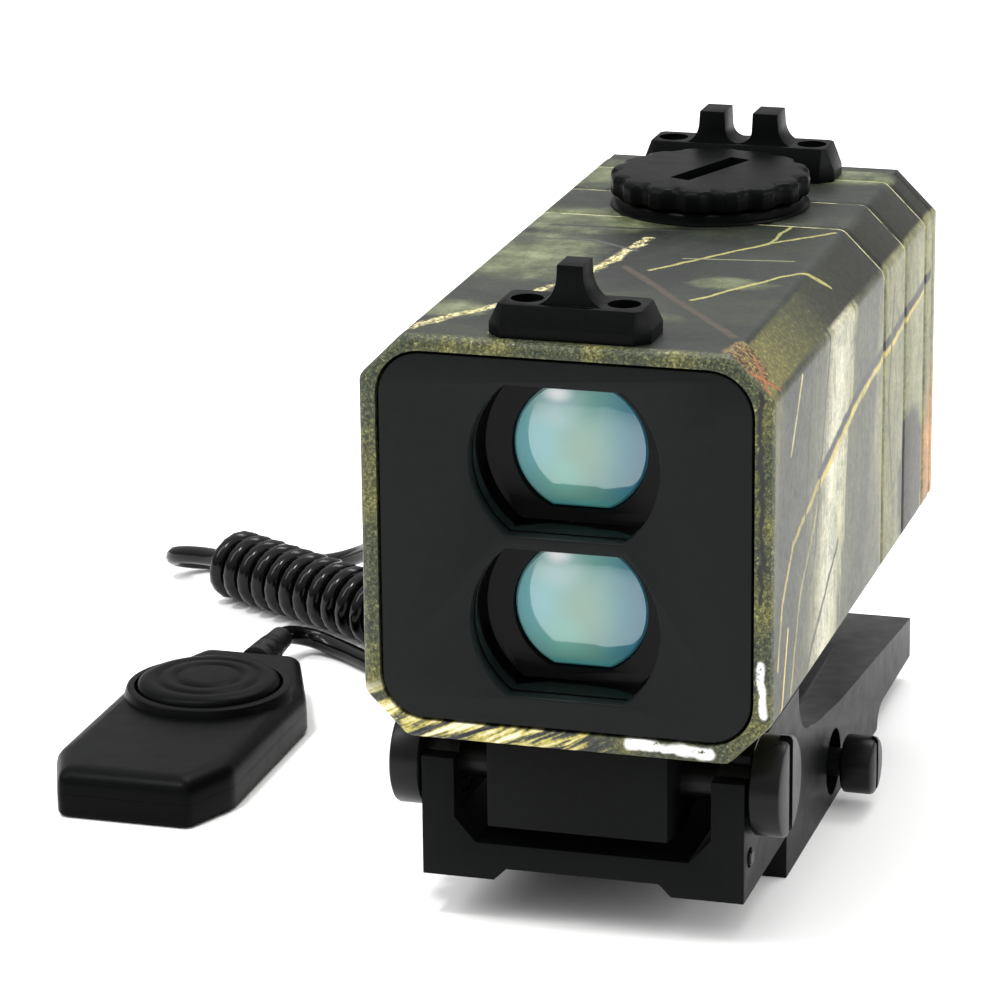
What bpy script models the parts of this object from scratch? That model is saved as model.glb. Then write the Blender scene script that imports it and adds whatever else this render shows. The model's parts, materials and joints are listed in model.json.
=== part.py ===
"""Rail-mounted laser rangefinder with a curly-cord remote switch.

Frame: metres, +Z up, the lenses face -Y, +X is the side of the clamp thumb screw.
The origin is under the middle of the sight's footprint, on the surface it stands on.
Dimensions below are in millimetres and scaled by MM.
"""
import math
import bpy
import bmesh
from mathutils import Matrix, Vector

# ---------------------------------------------------------------- driving dimensions (mm)
MM = 0.001
OX, OY = -0.4, -45.5            # moves the design point to the middle of the footprint
BODY_W, BODY_L = 42.0, 82.0     # housing width, whole length with the rear cover
Z_BOT, Z_TOP = 21.7, 63.6       # underside and top of the housing
CHAMFER = 4.5                   # housing corner chamfers
PANEL_W, PANEL_LO, PANEL_HI, PANEL_R = 37.8, 24.0, 61.85, 4.4
GAP = 0.3
WIN_R, WIN_H = 9.7, 7.65        # window: truncated circle, radius and half height
LENS_R, LENS_H = 7.0, 6.35
Z_UP, Z_LOW = 51.5, 34.8        # lens axes
CAP_Y, CAP_R = 60.2, 10.9       # battery cap
COVER_Y = 79.2                  # seam of the rear cover
PIV_Y, PIV_Z = 11.2, 15.9       # elevation pivot and windage screws
MOUNT_W = 33.8
THUMB_Y, THUMB_Z = 48.5, 4.7    # clamp thumb screw
SW_X = -56.2                    # remote switch centre line
CORD_D, COIL_D = 2.3, 9.0
COIL_A = (-72.5, 99.8, 4.6)     # coil axis, left end
COIL_B = (-41.0, 82.3, 4.6)     # coil axis, right end

for ob in list(bpy.data.objects):
    bpy.data.objects.remove(ob, do_unlink=True)

parts = bpy.data.collections.new("laser_rangefinder")
cutters = bpy.data.collections.new("cutters")
bpy.context.scene.collection.children.link(parts)
bpy.context.scene.collection.children.link(cutters)


def V(x, y, z):
    return Vector(((x + OX) * MM, (y + OY) * MM, z * MM))


def material(name, rgb, rough, metal=0.0, alpha=1.0):
    m = bpy.data.materials.new(name)
    m.use_nodes = True
    b = m.node_tree.nodes["Principled BSDF"]
    b.inputs["Base Color"].default_value = (*rgb, 1.0)
    b.inputs["Roughness"].default_value = rough
    b.inputs["Metallic"].default_value = metal
    b.inputs["Alpha"].default_value = alpha
    return m


CAMO = material("camo_print", (0.14, 0.14, 0.07), 0.5)
PANEL = material("panel_black", (0.012, 0.012, 0.013), 0.25)
MATTE = material("matte_black", (0.02, 0.02, 0.021), 0.55)
ANOD = material("black_anodised", (0.03, 0.03, 0.032), 0.42, 0.6)
LENSM = material("coated_lens", (0.3, 0.62, 0.66), 0.05)
RUBBER = material("black_rubber", (0.02, 0.02, 0.02), 0.5)
STEEL = material("dark_steel", (0.06, 0.06, 0.065), 0.35, 0.9)
BOARD = material("board_green", (0.03, 0.16, 0.07), 0.5)
CELL = material("cell_wrap", (0.25, 0.25, 0.28), 0.35)
SPRING = material("contact_metal", (0.6, 0.6, 0.58), 0.3, 1.0)


def place(me, name, mat, coll=None):
    ob = bpy.data.objects.new(name, me)
    (coll or parts).objects.link(ob)
    if mat is not None:
        me.materials.clear()
        me.materials.append(mat)
    return ob


def centred(ob, origin):
    """Put the object's origin at a design point without moving its shape."""
    o = V(*origin)
    ob.data.transform(Matrix.Translation(ob.location - o))
    ob.location = o
    return ob


PLANES = {
    "XY": Matrix(((1, 0, 0), (0, 1, 0), (0, 0, 1))),
    "XZ": Matrix(((1, 0, 0), (0, 0, -1), (0, 1, 0))),
    "YZ": Matrix(((0, 0, 1), (1, 0, 0), (0, 1, 0))),
}


def outline(name, loops, lo, hi, plane, mat=None, coll=None):
    """A flat outline (first loop, then its holes) given a thickness from lo to hi."""
    cu = bpy.data.curves.new(name + "_outline", "CURVE")
    cu.dimensions = "2D"
    cu.fill_mode = "BOTH"
    cu.extrude = (hi - lo) / 2 * MM
    for loop in loops:
        sp = cu.splines.new("POLY")
        sp.points.add(len(loop) - 1)
        for p, (a, b) in zip(sp.points, loop):
            p.co = (a * MM, b * MM, 0.0, 1.0)
        sp.use_cyclic_u = True
    tmp = bpy.data.objects.new(name + "_tmp", cu)
    cutters.objects.link(tmp)
    bpy.context.view_layer.update()
    dg = bpy.context.evaluated_depsgraph_get()
    me = bpy.data.meshes.new_from_object(tmp.evaluated_get(dg))
    bpy.data.objects.remove(tmp, do_unlink=True)
    me.name = name
    bm = bmesh.new()
    bm.from_mesh(me)
    bmesh.ops.remove_doubles(bm, verts=bm.verts, dist=0.000002)
    mid = (lo + hi) / 2
    shift = {"XY": V(0, 0, mid), "XZ": V(0, mid, 0), "YZ": V(mid, 0, 0)}[plane]
    bm.transform(Matrix.Translation(shift) @ PLANES[plane].to_4x4())
    bmesh.ops.recalc_face_normals(bm, faces=bm.faces)
    bm.to_mesh(me)
    bm.free()
    return place(me, name, mat, coll)


def cyl(name, axis, c, lo, hi, r, mat=None, r2=None, segs=32, coll=None):
    """A cylinder or cone along an axis; c holds the two other coordinates."""
    bm = bmesh.new()
    bmesh.ops.create_cone(bm, cap_ends=True, segments=segs, radius1=r * MM,
                          radius2=(r if r2 is None else r2) * MM, depth=(hi - lo) * MM)
    mid = (lo + hi) / 2
    if axis == "Z":
        m, pos = Matrix.Identity(4), V(c[0], c[1], mid)
    elif axis == "Y":
        m, pos = Matrix.Rotation(-math.pi / 2, 4, "X"), V(c[0], mid, c[1])
    else:
        m, pos = Matrix.Rotation(math.pi / 2, 4, "Y"), V(mid, c[0], c[1])
    bm.transform(Matrix.Translation(pos) @ m)
    me = bpy.data.meshes.new(name)
    bm.to_mesh(me)
    bm.free()
    ob = place(me, name, mat, coll)
    me.shade_smooth()
    me.set_sharp_from_angle(angle=math.radians(35))
    return ob


def box(name, x0, x1, y0, y1, z0, z1, mat=None, coll=None):
    bm = bmesh.new()
    bmesh.ops.create_cube(bm, size=1.0)
    bm.transform(Matrix.Translation((V(x0, y0, z0) + V(x1, y1, z1)) / 2)
                 @ Matrix.Diagonal(((x1 - x0) * MM, (y1 - y0) * MM, (z1 - z0) * MM, 1)))
    me = bpy.data.meshes.new(name)
    bm.to_mesh(me)
    bm.free()
    return place(me, name, mat, coll)


def _bool(ob, other, op):
    if other.name not in cutters.objects:
        for c in list(other.users_collection):
            c.objects.unlink(other)
        cutters.objects.link(other)
    other.hide_render = True
    other.display_type = "WIRE"
    m = ob.modifiers.new(op.lower(), "BOOLEAN")
    m.operation = op
    m.solver = "EXACT"
    m.object = other
    return ob


def cut(ob, *others):
    for o in others:
        _bool(ob, o, "DIFFERENCE")
    return ob


def join(ob, *others):
    for o in others:
        _bool(ob, o, "UNION")
    return ob


def bevel(ob, width, segs=2, angle=40):
    m = ob.modifiers.new("edge", "BEVEL")
    m.width = width * MM
    m.segments = segs
    m.limit_method = "ANGLE"
    m.angle_limit = math.radians(angle)
    return ob


def octagon(w, z0, z1, c):
    h = w / 2
    return [(-h + c, z0), (h - c, z0), (h, z0 + c), (h, z1 - c), (h - c, z1),
            (-h + c, z1), (-h, z1 - c), (-h, z0 + c)]


def rounded(x0, x1, z0, z1, r, n=5):
    pts = []
    for cx, cz, a0 in ((x1 - r, z0 + r, -90), (x1 - r, z1 - r, 0), (x0 + r, z1 - r, 90), (x0 + r, z0 + r, 180)):
        for i in range(n + 1):
            a = math.radians(a0 + 90 * i / n)
            pts.append((cx + r * math.cos(a), cz + r * math.sin(a)))
    return pts


def truncated(r, h, cz, n=9, cx=0.0):
    """A circle whose top and bottom are cut flat at +h and -h."""
    a = math.asin(h / r)
    pts = [(cx + r * math.cos(-a + 2 * a * i / n), cz + r * math.sin(-a + 2 * a * i / n)) for i in range(n + 1)]
    return pts + [(2 * cx - x, 2 * cz - z) for x, z in pts]


def tube(name, route, d, mat):
    """A round cord along a smooth curve through the route's points."""
    pts = smooth(route, CORD_D * 1.15)
    cu = bpy.data.curves.new(name, "CURVE")
    cu.dimensions = "3D"
    cu.bevel_depth = d / 2 * MM
    cu.bevel_resolution = 2
    cu.use_fill_caps = True
    sp = cu.splines.new("POLY")
    sp.points.add(len(pts) - 1)
    for p, q in zip(sp.points, pts):
        p.co = (*V(*q), 1.0)
    ob = bpy.data.objects.new(name, cu)
    cu.materials.append(mat)
    parts.objects.link(ob)
    return ob


def smooth(route, step):
    """Centripetal Catmull-Rom curve through the points, read about every step mm."""
    P = [Vector(p) for p in route]
    P = [P[0] * 2 - P[1]] + P + [P[-1] * 2 - P[-2]]
    out = []
    for i in range(1, len(P) - 2):
        p0, p1, p2, p3 = P[i - 1:i + 3]
        t0 = 0.0
        t1 = t0 + (p1 - p0).length ** 0.5
        t2 = t1 + (p2 - p1).length ** 0.5
        t3 = t2 + (p3 - p2).length ** 0.5
        n = max(1, round((p2 - p1).length / step))
        for k in range(n):
            t = t1 + (t2 - t1) * k / n
            a1 = p0 * ((t1 - t) / (t1 - t0)) + p1 * ((t - t0) / (t1 - t0))
            a2 = p1 * ((t2 - t) / (t2 - t1)) + p2 * ((t - t1) / (t2 - t1))
            a3 = p2 * ((t3 - t) / (t3 - t2)) + p3 * ((t - t2) / (t3 - t2))
            b1 = a1 * ((t2 - t) / (t2 - t0)) + a2 * ((t - t0) / (t2 - t0))
            b2 = a2 * ((t3 - t) / (t3 - t1)) + a3 * ((t - t1) / (t3 - t1))
            out.append(b1 * ((t2 - t) / (t2 - t1)) + b2 * ((t - t1) / (t2 - t1)))
    out.append(P[-2])
    return out


# ================================================================= housing and what it holds
HW = BODY_W / 2
shell = outline("housing_shell", [octagon(BODY_W, Z_BOT, Z_TOP, CHAMFER),
                                  rounded(-PANEL_W / 2 - GAP, PANEL_W / 2 + GAP, PANEL_LO - GAP, PANEL_HI + GAP, PANEL_R + GAP)],
                0.0, COVER_Y, "XZ", CAMO)
cut(shell, cyl("battery_port_cut", "Z", (0, CAP_Y), 60.0, 66.0, 8.9),
    cyl("jack_cut", "X", (68.0, 33.0), -23.0, -18.0, 2.6, segs=20))
for i, (sx, sy) in enumerate(((-4.9, 5.0), (4.9, 5.0), (-7.9, 75.3), (7.9, 75.3))):
    cut(shell, cyl("sight_hole_cut_%d" % i, "Z", (sx, sy), 60.0, 66.0, 0.95, segs=12))
for i, (sx, sy) in enumerate(((-5.5, 7.8), (5.5, 7.8), (-5.5, 16.5), (5.5, 16.5))):
    cut(shell, cyl("cradle_hole_cut_%d" % i, "Z", (sx, sy), 20.0, 26.0, 1.15, segs=12))

panel = outline("front_panel", [rounded(-PANEL_W / 2, PANEL_W / 2, PANEL_LO, PANEL_HI, PANEL_R),
                                truncated(WIN_R, WIN_H, Z_UP), truncated(WIN_R, WIN_H, Z_LOW)],
                0.1, 1.8, "XZ", PANEL)

block = outline("lens_block", [rounded(-12.5, 12.5, 25.0, 61.0, 3.0, 3),
                               truncated(LENS_R, LENS_H, Z_UP), truncated(LENS_R, LENS_H, Z_LOW)],
                2.1, 13.0, "XZ", MATTE)
cut(block, outline("upper_recess_cut", [truncated(WIN_R, WIN_H, Z_UP)], 1.0, 6.2, "XZ"),
    outline("lower_recess_cut", [truncated(WIN_R, WIN_H, Z_LOW)], 1.0, 6.2, "XZ"))
for nm, z in (("upper_lens", Z_UP), ("lower_lens", Z_LOW)):
    bevel(outline(nm, [truncated(LENS_R - GAP, LENS_H - GAP, z, 12)], 6.3, 9.3, "XZ", LENSM), 0.5, 1, 60)

cyl("laser_emitter", "Y", (0, Z_UP), 24.0, 31.0, 4.6, MATTE, segs=24)
cyl("light_sensor", "Y", (0, Z_LOW), 24.0, 30.0, 4.6, MATTE, segs=24)
join(bpy.data.objects["laser_emitter"], cyl("emitter_can", "Y", (0, Z_UP), 21.0, 26.0, 2.8, segs=20))
join(bpy.data.objects["light_sensor"], cyl("sensor_can", "Y", (0, Z_LOW), 21.0, 26.0, 2.8, segs=20))
box("optics_board", -16.0, 16.0, 31.4, 33.0, 27.0, 60.0, BOARD)
box("main_board", -16.0, 16.0, 33.4, 71.0, 25.2, 26.8, BOARD)
bevel(box("display_module", -9.0, 9.0, 74.6, 78.6, 44.0, 56.0, MATTE), 0.6, 1)

sleeve = cyl("battery_sleeve", "Z", (0, CAP_Y), 27.4, 61.6, 9.6, MATTE)
cut(sleeve, cyl("battery_bore_cut", "Z", (0, CAP_Y), 29.0, 63.0, 8.5))
cyl("battery", "Z", (0, CAP_Y), 32.2, 59.2, 7.8, CELL)
cyl("battery_contact", "Z", (0, CAP_Y), 29.3, 31.9, 4.2, SPRING, r2=2.2, segs=20)

collar = cyl("battery_collar", "Z", (0, CAP_Y), Z_TOP + 0.05, Z_TOP + 1.15, 10.3, MATTE, segs=48)
cut(collar, cyl("collar_bore_cut", "Z", (0, CAP_Y), 62.0, 67.0, 8.9))
flutes = []
for i in range(128):
    a = 2 * math.pi * i / 128
    u = (i % 8) / 8.0
    dip = 0.55 * math.sin(math.pi * min(1.0, max(0.0, (u - 0.28) / 0.72))) ** 1.2
    flutes.append(((CAP_R - dip) * math.cos(a), CAP_Y + (CAP_R - dip) * math.sin(a)))
cap = outline("battery_cap", [flutes], Z_TOP + 1.45, Z_TOP + 3.9, "XY", MATTE)
join(cap, cyl("cap_stem", "Z", (0, CAP_Y), 59.9, Z_TOP + 2.0, 8.0))
slot_cut = box("coin_slot_cut", -1.25, 1.25, -5.9, 5.9, Z_TOP + 2.5, Z_TOP + 5.0)
slot_cut.data.transform(Matrix.Translation(-V(0, 0, 0) + Vector((0, 0, 0))))
slot_cut.data.transform(Matrix.Rotation(math.radians(-21.0), 4, "Z"))
slot_cut.data.transform(Matrix.Translation(V(0, CAP_Y, 0)))
cut(cap, slot_cut)
centred(cap, (0, CAP_Y, Z_TOP))
seal = cyl("cap_seal", "Z", (0, CAP_Y), Z_TOP + 0.1, Z_TOP + 1.1, 8.75, RUBBER)
cut(seal, cyl("seal_bore_cut", "Z", (0, CAP_Y), 62.0, 66.0, 8.2))

# ---------------------------------------------------------------- open sights on the top face
fs = outline("front_sight", [[(-8.2, 2.6), (-6.6, 1.2), (6.6, 1.2), (8.2, 2.6), (8.2, 7.2), (6.6, 8.8), (-6.6, 8.8), (-8.2, 7.2)]],
             Z_TOP + 0.05, Z_TOP + 3.2, "XY", MATTE)
bevel(fs, 0.9, 2, 60)
post = [(-3.4, Z_TOP + 1.0), (3.4, Z_TOP + 1.0)]
for i in range(7):
    a = math.pi / 2 * i / 6
    post.append((3.4 - 2.1 * math.sin(a), Z_TOP + 3.0 + 3.0 * (1 - math.cos(a))))
post += [(1.3, Z_TOP + 7.3), (-1.3, Z_TOP + 7.3)]
post += [(-x, z) for x, z in post[8:1:-1]]
join(fs, outline("front_post", [post], 3.0, 7.0, "XZ"))
cut(fs, *[cyl("front_sight_bore_%d" % s, "Z", (4.9 * s, 5.0), Z_TOP - 1, Z_TOP + 5, 1.65, segs=20) for s in (-1, 1)])

rs = outline("rear_sight", [[(-10.9, 73.2), (-9.6, 71.9), (9.6, 71.9), (10.9, 73.2), (10.9, 77.5), (9.6, 78.8), (-9.6, 78.8), (-10.9, 77.5)]],
             Z_TOP + 0.05, Z_TOP + 3.7, "XY", MATTE)
bevel(rs, 0.9, 2, 60)
rp = [(-6.2, Z_TOP + 1.0), (6.2, Z_TOP + 1.0)]
for i in range(7):
    a = math.pi / 2 * i / 6
    rp.append((6.2 - 1.8 * math.sin(a), Z_TOP + 3.5 + 2.2 * (1 - math.cos(a))))
rp += [(4.4, Z_TOP + 7.3), (1.5, Z_TOP + 7.3)]
for i in range(1, 6):
    a = math.pi * i / 6
    rp.append((1.5 * math.cos(a), Z_TOP + 5.4 - 1.3 * math.sin(a)))
rp += [(-1.5, Z_TOP + 7.3), (-4.4, Z_TOP + 7.3)]
rp += [(-x, z) for x, z in rp[8:1:-1]]
join(rs, outline("rear_posts", [rp], 73.3, 77.3, "XZ"))
cut(rs, *[cyl("rear_sight_bore_%d" % s, "Z", (7.9 * s, 75.3), Z_TOP - 1, Z_TOP + 6, 1.65, segs=20) for s in (-1, 1)])
for nm, sx, sy in (("front_sight_screw_left", -4.9, 5.0), ("front_sight_screw_right", 4.9, 5.0),
                   ("rear_sight_screw_left", -7.9, 75.3), ("rear_sight_screw_right", 7.9, 75.3)):
    s = cyl(nm, "Z", (sx, sy), Z_TOP + 0.1, Z_TOP + 1.6, 1.3, STEEL, segs=16)
    cut(s, cyl(nm + "_key", "Z", (sx, sy), Z_TOP + 0.9, Z_TOP + 2.4, 0.6, segs=6))

# ---------------------------------------------------------------- rear cover, display and keys
rear = outline("rear_cover", [octagon(BODY_W - 0.2, Z_BOT + 0.1, Z_TOP - 0.1, CHAMFER)], COVER_Y + GAP, BODY_L, "XZ", CAMO)
bevel(rear, 0.8, 2, 60)
cut(rear, outline("display_cut", [rounded(-9.5, 9.5, 43.5, 56.5, 1.5, 3)], 77.0, 84.0, "XZ"),
    cyl("power_key_cut", "Y", (-7.5, 33.0), 77.0, 84.0, 3.6, segs=24),
    cyl("mode_key_cut", "Y", (7.5, 33.0), 77.0, 84.0, 3.6, segs=24))
for i, (sx, sz) in enumerate(((-16.5, 27.5), (16.5, 27.5), (-16.5, 57.8), (16.5, 57.8))):
    cut(rear, cyl("cover_screw_cut_%d" % i, "Y", (sx, sz), 80.6, 84.0, 1.9, segs=16))
    s = cyl("cover_screw_%d" % (i + 1), "Y", (sx, sz), 80.9, 81.95, 1.55, STEEL, segs=16)
    cut(s, cyl("cover_screw_key_%d" % i, "Y", (sx, sz), 81.4, 83.0, 0.75, segs=6))
outline("display_window", [rounded(-9.2, 9.2, 43.8, 56.2, 1.3, 3)], 79.9, 81.6, "XZ", PANEL)
for nm, sx in (("power_button", -7.5), ("mode_button", 7.5)):
    b = cyl(nm, "Y", (sx, 33.0), 79.6, 83.0, 3.25, RUBBER, segs=24)
    bevel(b, 0.5, 2, 60)
    centred(b, (sx, 83.0, 33.0))

# jack for the remote switch, in the left wall
jack = cyl("remote_jack", "X", (68.0, 33.0), -20.9, -12.0, 2.3, STEEL, segs=20)
cut(jack, cyl("jack_bore_cut", "X", (68.0, 33.0), -24.0, -13.5, 1.5, segs=16))

# ================================================================= mount
MW = MOUNT_W / 2
cradle = outline("tilt_cradle", [[(4.2, 11.3), (12.0, 10.2), (16.5, 11.6), (19.5, 15.5), (19.5, Z_BOT - GAP), (4.2, Z_BOT - GAP)]],
                 -9.45, 9.45, "YZ", ANOD)
bevel(cradle, 0.4, 1, 60)
cut(cradle, cyl("cradle_bore_cut", "X", (PIV_Y, PIV_Z), -12.0, 12.0, 2.35, segs=24))
for i, (sx, sy) in enumerate(((-5.5, 7.8), (5.5, 7.8), (-5.5, 16.5), (5.5, 16.5))):
    cyl("cradle_screw_%d" % (i + 1), "Z", (sx, sy), Z_BOT - 0.05 + 0.05, Z_BOT + 3.0, 0.85, STEEL, segs=12)
    join(bpy.data.objects["cradle_screw_%d" % (i + 1)], cyl("cradle_screw_head_%d" % i, "Z", (sx, sy), Z_BOT + 2.35, Z_BOT + 3.2, 1.8, segs=16))
pin = cyl("pivot_pin", "X", (PIV_Y, PIV_Z), -15.2, 15.2, 2.0, STEEL, segs=24)
centred(pin, (0, PIV_Y, PIV_Z))

side = [(6.0, 4.75), (25.5, 4.75), (25.5, 0.0), (72.0, 0.0), (72.6, 1.5), (75.4, 2.5), (91.0, 2.5), (91.0, 7.3),
        (74.4, 8.9), (51.6, 10.7), (39.3, 12.4), (34.8, 13.9), (32.2, 16.2), (30.6, 19.4), (9.0, 19.6), (9.0, 17.6), (6.0, 17.6)]
base = outline("mount_base", [side], -MW, MW, "YZ", ANOD)
channel = outline("channel_cut", [[(-13.45, 25.0), (-13.45, 11.3), (-11.2, 8.7), (11.2, 8.7), (13.45, 11.3), (13.45, 25.0)]], 0.0, 95.0, "XZ")
groove = outline("rail_groove_cut", [[(-8.0, 6.05), (8.0, 6.05), (10.9, 3.2), (10.9, 2.5), (8.6, 0.2), (8.6, -3.0), (-8.6, -3.0), (-8.6, 0.2), (-10.9, 2.5), (-10.9, 3.2)]], 0.0, 95.0, "XZ")
cut(base, channel, groove,
    box("jaw_seat_cut", -20.0, -7.0, 29.7, 66.3, -1.0, 6.05),
    box("jaw_back_cut", -20.0, -11.3, 29.7, 66.3, 0.5, 7.6),
    cyl("thumb_bore_cut", "X", (THUMB_Y, THUMB_Z), -20.0, 20.0, 1.9, segs=20),
    cyl("thumb_counterbore_cut", "X", (THUMB_Y, THUMB_Z), 15.7, 20.0, 3.7, segs=28),
    cyl("left_screw_cut", "X", (PIV_Y, PIV_Z), -20.0, -10.0, 3.6, segs=28),
    cyl("right_screw_cut", "X", (PIV_Y, PIV_Z), 10.0, 20.0, 3.6, segs=28),
    cyl("left_set_cut", "X", (8.6, 8.9), -20.0, -15.2, 1.1, segs=12),
    cyl("right_set_cut", "X", (8.6, 8.9), 15.2, 20.0, 1.1, segs=12))
for nm, s in (("windage_screw_left", -1), ("windage_screw_right", 1)):
    lo, hi = sorted((s * (MW + 0.3), s * (MW + 3.6)))
    sc = cyl(nm, "X", (PIV_Y, PIV_Z), lo, hi, 5.2, STEEL, segs=36)
    bevel(sc, 0.35, 1, 60)
    lo, hi = sorted((s * 13.6, s * (MW + 1.0)))
    join(sc, cyl(nm + "_shank", "X", (PIV_Y, PIV_Z), lo, hi, 3.3, segs=28))
    lo, hi = sorted((s * 12.0, s * 18.6))
    cut(sc, cyl(nm + "_bore", "X", (PIV_Y, PIV_Z), lo, hi, 2.35, segs=24))
    lo, hi = sorted((s * (MW + 2.3), s * 23.0))
    cut(sc, box(nm + "_coin_slot", lo, hi, PIV_Y - 0.8, PIV_Y + 0.8, PIV_Z - 8, PIV_Z + 8))
    centred(sc, (0, PIV_Y, PIV_Z))
for nm, s in (("set_screw_left", -1), ("set_screw_right", 1)):
    lo, hi = sorted((s * 15.4, s * (MW + 0.3)))
    cyl(nm, "X", (8.6, 8.9), lo, hi, 0.8, STEEL, segs=12)

jaw = outline("clamp_jaw", [[(-MW, 0.0), (-8.9, 0.0), (-8.9, 0.35), (-11.2, 2.65), (-11.2, 3.1), (-9.0, 5.3), (-9.0, 5.7), (-11.6, 5.7), (-11.6, 7.3), (-MW, 7.3)]],
              30.0, 66.0, "XZ", ANOD)
bevel(jaw, 0.3, 1, 60)
cut(jaw, cyl("jaw_bore_cut", "X", (THUMB_Y, THUMB_Z), -20.0, -5.0, 1.9, segs=20))
thumb = cyl("thumb_screw", "X", (THUMB_Y, THUMB_Z), 18.2, 21.8, 3.2, STEEL, segs=32)
bevel(thumb, 0.35, 1, 60)
join(thumb, cyl("thumb_shank", "X", (THUMB_Y, THUMB_Z), -14.0, 19.0, 1.55, segs=20))
cut(thumb, box("thumb_slot_cut", 21.0, 23.0, THUMB_Y - 0.5, THUMB_Y + 0.5, THUMB_Z - 5, THUMB_Z + 5))
centred(thumb, (0, THUMB_Y, THUMB_Z))

# ================================================================= remote switch on its cord
SX = SW_X


def plan(k):
    """The switch's plan, drawn in by k millimetres all round."""
    return [(SX - 7.5 + k * 0.5, 22.4 + k), (SX + 7.5 - k * 0.5, 22.4 + k), (SX + 10.4 - k, 29.3 + k * 0.5), (SX + 10.4 - k, 54.5 - k * 0.3),
            (SX + 5.8 - k * 0.5, 66.0 - k), (SX - 5.8 + k * 0.5, 66.0 - k), (SX - 10.4 + k, 54.5 - k * 0.3), (SX - 10.4 + k, 29.3 + k * 0.5)]


bevel(outline("switch_base", [plan(0.0)], 0.0, 2.6, "XY", MATTE), 0.5, 2, 30)
cover = outline("switch_cover", [plan(0.1)], 2.9, 5.6, "XY", MATTE)
bevel(cover, 1.0, 3, 30)
join(cover, cyl("switch_collar", "Z", (SX, 50.5), 4.0, 6.6, 9.6, segs=44))
cut(cover, cyl("button_well_cut", "Z", (SX, 50.5), 2.0, 9.0, 8.5, segs=44))
btn = cyl("switch_button", "Z", (SX, 50.5), 4.0, 7.5, 8.1, RUBBER, segs=44)
bevel(btn, 0.7, 2, 60)
centred(btn, (SX, 50.5, 4.0))
cyl("strain_relief", "Y", (SX, 3.6), 66.3, 75.0, 1.9, RUBBER, r2=1.45, segs=20)

TAIL = [(SX, 75.3, 3.6), (SX, 78.3, 3.1), (-54.3, 81.0, 2.0), (-50.3, 79.9, 1.3), (-44.5, 75.6, 1.25), (-38.5, 71.5, 1.25),
        (-32.5, 70.3, 1.3), (-28.4, 73.6, 2.0), (-29.6, 78.2, 3.4), (-34.5, 79.9, 4.4), (-40.74, 82.15, 4.6)]
LEAD = [(-31.0, 68.0, 33.0), (-33.0, 68.1, 33.0), (-36.4, 71.0, 30.8), (-39.5, 77.0, 25.5), (-46.0, 90.0, 14.0), (-54.2, 102.0, 6.2), (-60.5, 106.3, 3.0), (-67.5, 108.6, 1.4),
        (-74.5, 109.0, 1.25), (-80.5, 106.6, 1.6), (-81.5, 103.2, 3.2), (-77.6, 101.6, 4.4), (-72.76, 99.95, 4.6)]
tube("cord_tail", TAIL, CORD_D, RUBBER)
tube("cord_lead", LEAD, CORD_D, RUBBER)
a, b = Vector(COIL_A), Vector(COIL_B)
d = (b - a).normalized()
cu = bpy.data.curves.new("cord_coil", "CURVE")
cu.dimensions = "3D"
cu.bevel_depth = (COIL_D / 2 - 0.05) * MM
cu.bevel_resolution = 4
cu.use_fill_caps = True
sp = cu.splines.new("POLY")
sp.points.add(7)
for i, p in enumerate(sp.points):
    p.co = (*V(*(a + (b - a) * i / 7)), 1.0)
cu.materials.append(RUBBER)
parts.objects.link(bpy.data.objects.new("cord_coil", cu))
plug = cyl("cord_plug", "X", (68.0, 33.0), -30.5, -21.3, 2.7, RUBBER, segs=20)
join(plug, cyl("plug_pin", "X", (68.0, 33.0), -22.5, -14.2, 1.15, segs=16))
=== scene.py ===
"""Looks of the rail-mounted laser rangefinder. Lengths below are in millimetres unless said."""
import json
import math
import bpy
import bmesh
from mathutils import Matrix, Vector

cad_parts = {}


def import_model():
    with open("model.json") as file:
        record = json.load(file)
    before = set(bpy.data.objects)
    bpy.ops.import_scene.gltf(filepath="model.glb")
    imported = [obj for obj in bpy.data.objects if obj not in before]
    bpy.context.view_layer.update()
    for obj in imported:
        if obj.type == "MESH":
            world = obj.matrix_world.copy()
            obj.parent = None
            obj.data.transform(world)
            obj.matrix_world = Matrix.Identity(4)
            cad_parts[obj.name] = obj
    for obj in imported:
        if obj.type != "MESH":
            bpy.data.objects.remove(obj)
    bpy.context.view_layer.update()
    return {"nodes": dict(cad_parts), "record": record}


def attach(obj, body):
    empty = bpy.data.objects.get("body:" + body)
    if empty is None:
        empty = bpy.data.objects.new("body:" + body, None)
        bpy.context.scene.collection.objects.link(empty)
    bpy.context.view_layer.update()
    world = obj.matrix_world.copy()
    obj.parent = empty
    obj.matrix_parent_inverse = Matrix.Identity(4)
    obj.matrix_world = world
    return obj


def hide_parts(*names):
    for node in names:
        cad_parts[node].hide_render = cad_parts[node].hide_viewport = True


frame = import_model()

MM = 0.001
OX, OY = -0.4, -45.5
BODY_W, BODY_L = 42.0, 82.0
Z_BOT, Z_TOP, CHAMFER = 21.7, 63.6, 4.5
PANEL_W, PANEL_LO, PANEL_HI, PANEL_R = 37.8, 24.0, 61.85, 4.4
WIN_R, WIN_H = 9.7, 7.65
LENS_R, LENS_H = 7.0, 6.35
Z_UP, Z_LOW = 51.5, 34.8
CAP_Y, CAP_R = 60.2, 10.9
COVER_Y = 79.2
PIV_Y, PIV_Z = 11.2, 15.9
MW = 16.9
THUMB_Y, THUMB_Z = 48.5, 4.7
SX = -56.2
CORD_D = 2.3
COIL_A, COIL_B = Vector((-72.5, 99.8, 4.6)), Vector((-41.0, 82.3, 4.6))


def V(x, y, z):
    return Vector(((x + OX) * MM, (y + OY) * MM, z * MM))


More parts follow.
